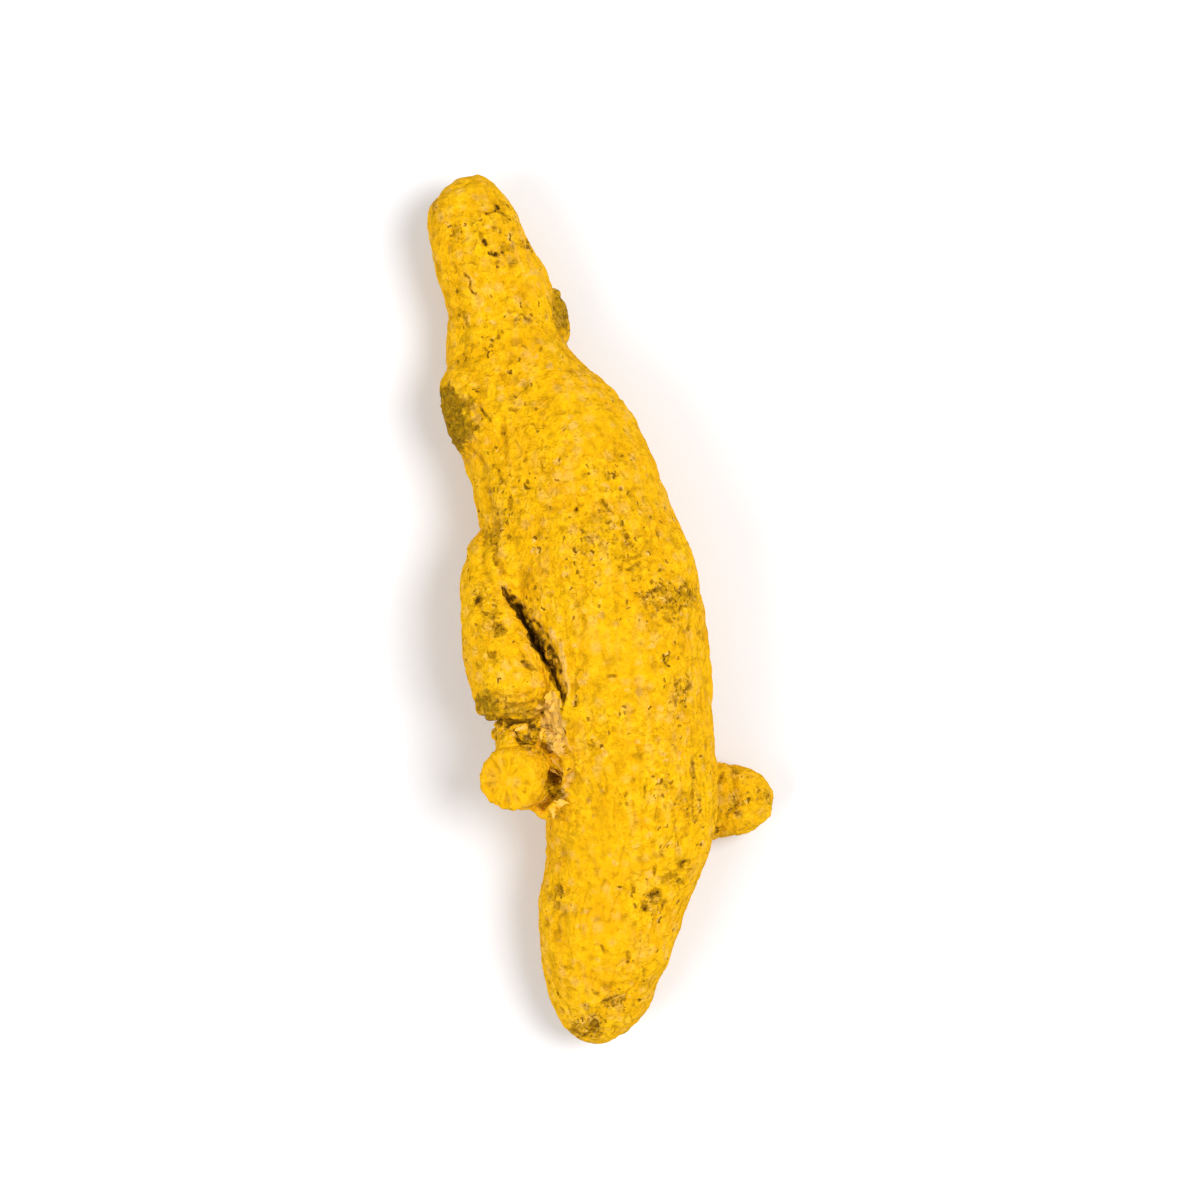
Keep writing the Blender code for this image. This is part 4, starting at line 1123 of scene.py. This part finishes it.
def skin_material(settings):
    """Golden powder over tan skin: mottled, flecked with dry cracks, pale at spots, dark in marks; painted shade in
    hollows and low places, and painted light on raised places.
    """
    material, tree, shader, place = new_material("dusty_skin")

    def times(first, second):
        return maths(tree, "MULTIPLY", first, second)

    def line(value, slope, start, **options):
        return maths(tree, "MULTIPLY_ADD", value, slope, start, **options)

    def most(first, second):
        return maths(tree, "MAXIMUM", first, second)

    def cloud(scale, detail, roughness, low, high):
        return ramp(tree, noise_value(tree, place, scale, detail, roughness), low, high)

    def ragged(mask, size, amount=1.2, low=0.35, high=0.60):
        inputs = {"Mask": mask, "Size": size, "Amount": amount, "Low": low, "High": high}
        return use_group(tree, "ragged", Place=place, **inputs)["Mask"]

    def over(share, laid):
        nonlocal colour
        colour = blend_colours(tree, share, colour, laid)

    powder = use_group(tree, "powder", Place=place, Grain=0.16)
    coarse = use_group(tree, "pebbles", Place=place, Size=0.70)
    fine = use_group(tree, "pebbles", Place=place, Size=0.32)
    rough, hollow, marks_and_shade, scars_tints_and_shade_mask = (attribute(tree, name) for name in ("rough", "hollow", "marks_and_shade", "scars_tints_and_shade"))
    crowded = line(rough, 0.55, line(cloud(0.35, 2.0, 0.5, 0.32, 0.62), 0.20, 0.06))
    small = use_group(tree, "flecks", Place=place, Cell=0.80, Width=0.17, Reach=0.30, Share=crowded)
    large = use_group(tree, "flecks", Place=place, Cell=1.6, Width=0.085, Reach=0.23, Share=crowded)
    dots = use_group(tree, "dots", Place=place, Cell=1.2, Radius=0.42, Share=0.60)["Mask"]
    sunk = most(hollow, 0.0)
    proud = most(times(hollow, -1.0), 0.0)

    # Powder: deeper and lighter regions, where it lies thick in patches, a painted highlight on raised places, and
    # where it is thin in streaks along the root
    colour = blend_colours(tree, cloud(0.28, 3.0, 0.6, 0.35, 0.65), settings.deep_colour, settings.powder_colour)
    thick = line(proud, 0.35, times(cloud(0.9, 3.0, 0.6, 0.46, 0.70), 0.55), clamp=True)
    over(thick, settings.thick_powder_and_highlight_colour)
    lengthwise = noise_value(tree, vector_maths(tree, "MULTIPLY", place, (1.0, 0.2, 1.0)), 0.9, 3.0, 0.6)
    over(times(ramp(tree, lengthwise, 0.52, 0.72), 0.18), settings.bare_colour)
    over(times(ramp(tree, lengthwise, 0.46, 0.30), 0.45), settings.olive_colour)
    spots = most(times(dots, 0.8), ragged(attribute(tree, "spot"), 0.35))
    over(times(spots, 0.45), settings.bare_colour)

    # Painted shade: low places of the pebbles darkened olive, more on rough skin; and bare tan where the skin is worn
    # and on the lips of the flecks
    low = line(fine["Low"], 0.35, times(coarse["Low"], 0.65), clamp=True)
    over(times(low, line(rough, 0.35, 0.40, clamp=True)), settings.olive_colour)
    worn = ragged(rough, 0.55, 1.5, 0.40, 1.0)
    over(times(worn, 0.38), settings.brown_and_hollow_shade_colour)
    tan = times(fine["High"], line(worn, 0.80, 0.05))
    over(most(tan, times(most(small["Lip"], large["Lip"]), 0.75)), settings.bare_colour)

    # Scars and tints, torn tissue, painted shade in hollows, and the pale sheath
    streak = cloud(2.6, 4.0, 0.7, 0.38, 0.60)
    # Scars and tints darkened; on the finger's lower left, and partly on the bud, this is painted shade
    over(times(scars_tints_and_shade_mask, 0.60), settings.olive_colour)
    over(times(ragged(scars_tints_and_shade_mask, 0.5, 1.3, 0.25, 0.95), line(streak, 0.45, 0.50)), settings.scar_and_shade_colour)
    torn = ragged(attribute(tree, "torn"), 0.4)
    over(times(torn, line(streak, 0.45, 0.15)), settings.scar_and_shade_colour)
    over(times(torn, times(proud, 0.85)), settings.powder_colour)
    over(times(torn, times(fine["High"], 0.75)), settings.bare_colour)
    # Painted shade: hollows darkened, and torn tissue in hollows darkened further
    over(times(sunk, 0.60), settings.brown_and_hollow_shade_colour)
    over(times(torn, times(sunk, 0.90)), settings.mark_and_shade_colour)
    over(times(ragged(attribute(tree, "cork"), 0.5), line(streak, 0.45, 0.40)), settings.cork_colour)

    # Flecks, then the marks, and painted shade in the crack's gap
    blotch = cloud(2.9, 3.0, 0.65, 0.53, 0.64)
    flecks = most(times(small["Mask"], 0.80), large["Mask"])
    flecks = most(times(flecks, 0.85), times(times(blotch, worn), 0.80))
    over(flecks, settings.fleck_colour)
    over(times(ragged(marks_and_shade, 0.35, 0.9, 0.20, 0.45), 0.65), settings.brown_and_hollow_shade_colour)
    over(ragged(marks_and_shade, 0.25, 1.1, 0.46, 0.90), settings.mark_and_shade_colour)

    # How light it is: random powder tone, with painted light and shade from the pebbles' heights, higher places
    # lighter and lower ones darker; and how high; both more even on calm skin
    uneven = line(maths(tree, "MINIMUM", rough, 0.0), 0.65, 1.0)
    tone = line(fine["Height"], 0.45, line(coarse["Height"], 0.70, line(powder["Tone"], 0.35, 0.25)))
    tone = line(maths(tree, "SUBTRACT", tone, MEAN_TONE), uneven, MEAN_TONE)
    tree.links.new(scaled(tree, colour, tone), shader.inputs["Base Color"])
    pebbled = line(fine["Height"], 0.16, line(coarse["Height"], 0.40, -0.28))
    add_bump(tree, shader, line(pebbled, uneven, line(flecks, -0.10, powder["Height"])))
    shader.inputs["Roughness"].default_value = 0.9
    shader.inputs["Specular IOR Level"].default_value = 0.03
    return material


def shred_material(settings):
    """Papery torn sheath: pale tan with darker fibres along its length, and powder caught on it."""
    material, tree, shader, place = new_material("torn_sheath")
    powder = use_group(tree, "powder", Place=place, Grain=0.12)
    fibres = ramp(tree, noise_value(tree, place, 5.0, 3.0, 0.6), 0.40, 0.62)
    dusty = ramp(tree, noise_value(tree, place, 1.6, 3.0, 0.6), 0.30, 0.55)
    colour = blend_colours(tree, fibres, settings.cork_colour, settings.bare_colour)
    colour = blend_colours(tree, maths(tree, "MULTIPLY", dusty, 0.80), colour, settings.powder_colour)
    tone = maths(tree, "MULTIPLY_ADD", powder["Tone"], 0.4, 0.8)
    tree.links.new(scaled(tree, colour, tone), shader.inputs["Base Color"])
    tree.links.new(maths(tree, "MULTIPLY_ADD", powder["Tone"], 0.2, 0.7), shader.inputs["Roughness"])
    add_bump(tree, shader, powder["Height"])
    return material


def shred_points(base, ahead, length, half_width, rise, curl, seed):
    """Points of a shred: a flat oval carried along a circular arc, a function of the place u and the angle round it.

    The arc sets out at the rise above the skin and turns by the curl. The half width falls with 1 - u**1.6
    and is uneven, so the tip is ragged; the shred is cupped across by a share of the width.
    """
    u = np.linspace(-0.35, 0.98, SHRED_RINGS)
    angle = np.linspace(0.0, 2 * math.pi, SHRED_SEGMENTS, endpoint=False)
    above = np.array([0.0, 0.0, 1.0])
    across = np.cross(above, ahead)
    turn = rise - curl * u
    forward = -length * (np.sin(turn) - np.sin(rise)) / curl
    upward = length * (np.cos(turn) - np.cos(rise)) / curl
    path = base + forward[:, None] * ahead + upward[:, None] * above
    facing = -np.sin(turn)[:, None] * ahead + np.cos(turn)[:, None] * above
    phase = 1.7 * seed
    uneven = 1 + 0.22 * np.sin(8 * u + phase) + 0.14 * np.sin(21 * u + 2 * phase)
    lean = 0.25 * half_width * np.sin(3 * u + phase)
    v = np.cos(angle)
    width = half_width * ((1 - np.abs(u) ** 1.6) ** 0.9 * uneven)
    thick = SHRED_THICKNESS * (1 - 0.6 * np.clip(u, 0.0, 1.0))
    cup = 0.35 * width[:, None] * v**2 + 0.10 * width[:, None] * np.sin(5 * v + 6 * u[:, None] + phase)
    grid = (
        path[:, None, :]
        + (width[:, None] * v + lean[:, None])[..., None] * across
        + (cup + thick[:, None] * np.sin(angle))[..., None] * facing[:, None, :]
    )
    return np.concatenate([path[:1], grid.reshape(-1, 3), path[-1:] + lean[-1] * across])


def torn_shreds(skin):
    """All the shreds as one mesh, each with its foot sunk where a line straight down meets the skin."""
    parts = []
    for seed, (x, y, heading, length, half_width, rise, curl) in enumerate(SHREDS):
        (along, side), = on_photo([(x, y)])
        spot = to_frame(along, side, SHRED_DROP)
        hit, place, _, _ = skin.ray_cast(Vector(spot * MM), Vector((0, 0, -1)))
        if not hit:
            raise RuntimeError(f"no skin under the shred at {x}, {y}")
        turn = math.radians(heading) + math.radians(LEAN_DEGREES)
        ahead = np.array([math.sin(turn), math.cos(turn), 0.0])
        curve = (math.radians(rise), math.radians(curl))
        parts.append(shred_points(np.array(place) / MM, ahead, length, half_width, *curve, seed))
    own = tube_faces(SHRED_RINGS, SHRED_SEGMENTS)
    faces = [[v + shred * len(parts[0]) for v in face] for shred in range(len(parts)) for face in own]
    return new_object("sheath_shreds", np.concatenate(parts), faces)


class TurmericSkinSettings(bpy.types.PropertyGroup):
    """Sizes and colours of the root's skin."""

    triangles: bpy.props.IntProperty(
        name="Triangles", description="Most triangles that the skin may have", default=194000, min=20000
    )
    ring_height: bpy.props.FloatProperty(
        name="Ring height", description="How far the node rings stand out", default=0.12 * MM, unit="LENGTH",
        precision=5,
    )
    wrinkle_depth: bpy.props.FloatProperty(
        name="Wrinkle depth", description="Depth of the fine wrinkles", default=0.10 * MM, unit="LENGTH",
        precision=5,
    )
    crack_width_factor: bpy.props.FloatProperty(
        name="Crack width", description="Width of the crack beside the finger, as a multiple", default=1.0, min=0.2
    )
    powder_colour: bpy.props.FloatVectorProperty(
        name="Powder", description="Golden powder on most of the skin", subtype="COLOR", default=(0.89, 0.465, 0.002)
    )
    deep_colour: bpy.props.FloatVectorProperty(
        name="Deep powder", description="Powder where it is more orange", subtype="COLOR",
        default=(0.84, 0.405, 0.002),
    )
    # Lighter powder for thick patches, also used as a painted highlight on raised places
    thick_powder_and_highlight_colour: bpy.props.FloatVectorProperty(
        name="Thick powder", description="Powder where it lies thick", subtype="COLOR", default=(0.93, 0.515, 0.008)
    )
    olive_colour: bpy.props.FloatVectorProperty(
        name="Olive", description="Patches where the powder is thin", subtype="COLOR", default=(0.58, 0.298, 0.003)
    )
    bare_colour: bpy.props.FloatVectorProperty(
        name="Bare skin", description="Tan spots with no powder", subtype="COLOR", default=(0.86, 0.520, 0.140)
    )
    # Floors of the scars and streaks of torn tissue, also used as painted shade where a tint stands for shade
    scar_and_shade_colour: bpy.props.FloatVectorProperty(
        name="Scar", description="Floors of the scars", subtype="COLOR", default=(0.19, 0.104, 0.004)
    )
    cork_colour: bpy.props.FloatVectorProperty(
        name="Cork", description="Torn tissue of the sheath", subtype="COLOR", default=(0.80, 0.465, 0.115)
    )
    # Brown of worn patches and of the halos round marks, also used as painted shade in hollows
    brown_and_hollow_shade_colour: bpy.props.FloatVectorProperty(
        name="Hollow", description="Skin in furrows and folds", subtype="COLOR", default=(0.38, 0.180, 0.003)
    )
    fleck_colour: bpy.props.FloatVectorProperty(
        name="Fleck", description="Fine dry cracks", subtype="COLOR", default=(0.16, 0.062, 0.004)
    )
    # Dark brown of the marks, also used as painted shade in the crack's gap and in torn hollows
    mark_and_shade_colour: bpy.props.FloatVectorProperty(
        name="Crack", description="Inside of cracks and marks", subtype="COLOR", default=(0.080, 0.034, 0.003)
    )


class TurmericStageSettings(bpy.types.PropertyGroup):
    """Floor, lights and camera."""

    floor_colour: bpy.props.FloatVectorProperty(
        name="Floor", description="Colour of the pale floor", subtype="COLOR", default=(0.87, 0.885, 0.92)
    )
    key_power: bpy.props.FloatProperty(
        name="Key light", description="Power of the soft light at the right", default=2.05, unit="POWER"
    )
    fill_power: bpy.props.FloatProperty(
        name="Fill light", description="Power of the weaker light at the left", default=1.25, unit="POWER"
    )
    sky_strength: bpy.props.FloatProperty(
        name="Sky", description="Strength of the light that comes from all round", default=0.48
    )
    camera_height: bpy.props.FloatProperty(
        name="Camera height", description="Height of the camera above the root", default=0.42, unit="LENGTH"
    )
    shown_share: bpy.props.FloatProperty(
        name="Shown share", description="Share of the picture's height that the root takes up", default=0.76,
        subtype="FACTOR",
    )


class OBJECT_OT_turmeric_skin(bpy.types.Operator):
    """Fuses the growths, carves their relief and gives the skin its powder"""

    bl_idname = "object.turmeric_skin"
    bl_label = "Root skin"

    def execute(self, context):
        settings = context.scene.turmeric_skin
        skin = fused_growths()
        shape_skin(skin)
        thin = skin.modifiers.new("fewer_faces", "DECIMATE")
        thin.ratio = settings.triangles / (2 * len(skin.data.polygons))
        apply_modifiers(skin)
        store_masks(skin)
        skin.data.shade_smooth()
        skin.data.materials.append(skin_material(settings))
        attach(skin, "root")
        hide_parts(NODE)
        return {"FINISHED"}


class OBJECT_OT_turmeric_shreds(bpy.types.Operator):
    """Sets torn shreds of sheath on the skin, between finger, stub and body"""

    bl_idname = "object.turmeric_shreds"
    bl_label = "Torn sheath"

    def execute(self, context):
        skin = bpy.data.objects.get("root_skin")
        if skin is None:
            raise RuntimeError("the root's skin has to be made first")
        shreds = torn_shreds(skin)
        shreds.data.shade_smooth()
        shreds.data.materials.append(shred_material(context.scene.turmeric_skin))
        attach(shreds, "root")
        return {"FINISHED"}


class SCENE_OT_turmeric_stage(bpy.types.Operator):
    """Lays the pale floor and sets the soft lights and the camera"""

    bl_idname = "scene.turmeric_stage"
    bl_label = "Stage"

    def execute(self, context):
        settings = context.scene.turmeric_stage
        lay_floor(settings)
        set_lights(settings)
        set_camera(settings)
        return {"FINISHED"}


class VIEW3D_PT_turmeric(bpy.types.Panel):
    """Lists the operators of the root and its stage"""

    bl_label = "Turmeric root"
    bl_space_type = "VIEW_3D"
    bl_region_type = "UI"
    bl_category = "Turmeric"

    def draw(self, context):
        for settings in (context.scene.turmeric_skin, context.scene.turmeric_stage):
            for name in settings.__annotations__:
                self.layout.prop(settings, name)
        self.layout.operator("object.turmeric_skin")
        self.layout.operator("object.turmeric_shreds")
        self.layout.operator("scene.turmeric_stage")


CLASSES = (
    TurmericSkinSettings,
    TurmericStageSettings,
    OBJECT_OT_turmeric_skin,
    OBJECT_OT_turmeric_shreds,
    SCENE_OT_turmeric_stage,
    VIEW3D_PT_turmeric,
)

# Half the side of the floor, and how far it lies under the root's flat spots, in metres
FLOOR_HALF = 1.5
FLOOR_GAP = 0.00002

# Lamps: how far to the photograph's right, to its top and above the root's middle, and diameter, in metres
LAMPS = {"key_light": (0.24, 0.04, 0.46, 0.30), "fill_light": (-0.34, -0.14, 0.38, 0.40)}
SENSOR_WIDTH = 36.0


def lay_floor(settings):
    """A flat square of pale, faintly rough board."""
    corners = np.array([(-1, -1, 0), (1, -1, 0), (1, 1, 0), (-1, 1, 0)], float) * FLOOR_HALF
    corners[:, 2] = -FLOOR_GAP
    floor = new_object("floor", corners / MM, [(0, 1, 2, 3)])
    material, tree, shader, place = new_material("pale_floor")
    speckle = noise_value(tree, place, 1.4, 4.0, 0.6)
    darker = tuple(0.985 * channel for channel in settings.floor_colour)
    colour = blend_colours(tree, speckle, settings.floor_colour, darker)
    tree.links.new(colour, shader.inputs["Base Color"])
    shader.inputs["Roughness"].default_value = 0.85
    shader.inputs["Specular IOR Level"].default_value = 0.2
    floor.data.materials.append(material)


def photo_directions():
    """Right and up of the photograph, as directions in the frame."""
    lean = math.radians(LEAN_DEGREES)
    return Vector((math.cos(lean), -math.sin(lean), 0)), Vector((math.sin(lean), math.cos(lean), 0))


def aimed(location, target):
    """World matrix of something at a location that looks at a target, with up in the photograph kept up."""
    back = (location - target).normalized()
    _, up = photo_directions()
    right = up.cross(back).normalized()
    turn = Matrix((right, back.cross(right), back)).transposed()
    return Matrix.Translation(location) @ turn.to_4x4()


def root_middle():
    """Middle of the root's height, over the origin."""
    return Vector((0, 0, 0.5 * (CAD_LOW.z + CAD_HIGH.z)))


def add_lamp(name, offset, size, power):
    """A round area light at an offset from the root's middle, aimed at it."""
    light = bpy.data.lights.new(name, "AREA")
    light.shape = "DISK"
    light.size = size
    light.energy = power
    link_object(name, light).matrix_world = aimed(root_middle() + offset, root_middle())


def set_lights(settings):
    """A large soft light at the photograph's right, a weaker one at its lower left, and an even pale sky."""
    right, up = photo_directions()
    for name, power in (("key_light", settings.key_power), ("fill_light", settings.fill_power)):
        to_right, to_top, high, size = LAMPS[name]
        add_lamp(name, to_right * right + to_top * up + Vector((0, 0, high)), size, power)
    world = bpy.data.worlds.new("pale_sky")
    world.use_nodes = True
    sky = world.node_tree.nodes["Background"]
    sky.inputs["Color"].default_value = (1.0, 1.0, 1.0, 1.0)
    sky.inputs["Strength"].default_value = settings.sky_strength
    bpy.context.scene.world = world
    bpy.context.scene.view_settings.view_transform = "Standard"


def set_camera(settings):
    """A long lens straight above the root, turned as the photograph is, with the whole root in view."""
    _, up = photo_directions()
    tops = [Vector((x, y, 0)).dot(up) for x in (CAD_LOW.x, CAD_HIGH.x) for y in (CAD_LOW.y, CAD_HIGH.y)]
    data = bpy.data.cameras.new("camera")
    data.sensor_width = SENSOR_WIDTH
    data.lens = SENSOR_WIDTH * settings.camera_height * settings.shown_share / (max(tops) - min(tops))
    camera = link_object("camera", data)
    camera.matrix_world = aimed(root_middle() + Vector((0, 0, settings.camera_height)), root_middle())
    bpy.context.scene.camera = camera


def register():
    for kind in CLASSES:
        bpy.utils.register_class(kind)
    bpy.types.Scene.turmeric_skin = bpy.props.PointerProperty(type=TurmericSkinSettings)
    bpy.types.Scene.turmeric_stage = bpy.props.PointerProperty(type=TurmericStageSettings)


def unregister():
    del bpy.types.Scene.turmeric_stage
    del bpy.types.Scene.turmeric_skin
    for kind in reversed(CLASSES):
        bpy.utils.unregister_class(kind)


def main():
    register()
    for make in (millimetre_group, powder_group, pebble_group, fleck_group, dot_group, ragged_group):
        make()
    bpy.ops.object.turmeric_skin()
    bpy.ops.object.turmeric_shreds()
    bpy.ops.scene.turmeric_stage()


if __name__ == "__main__":
    main()
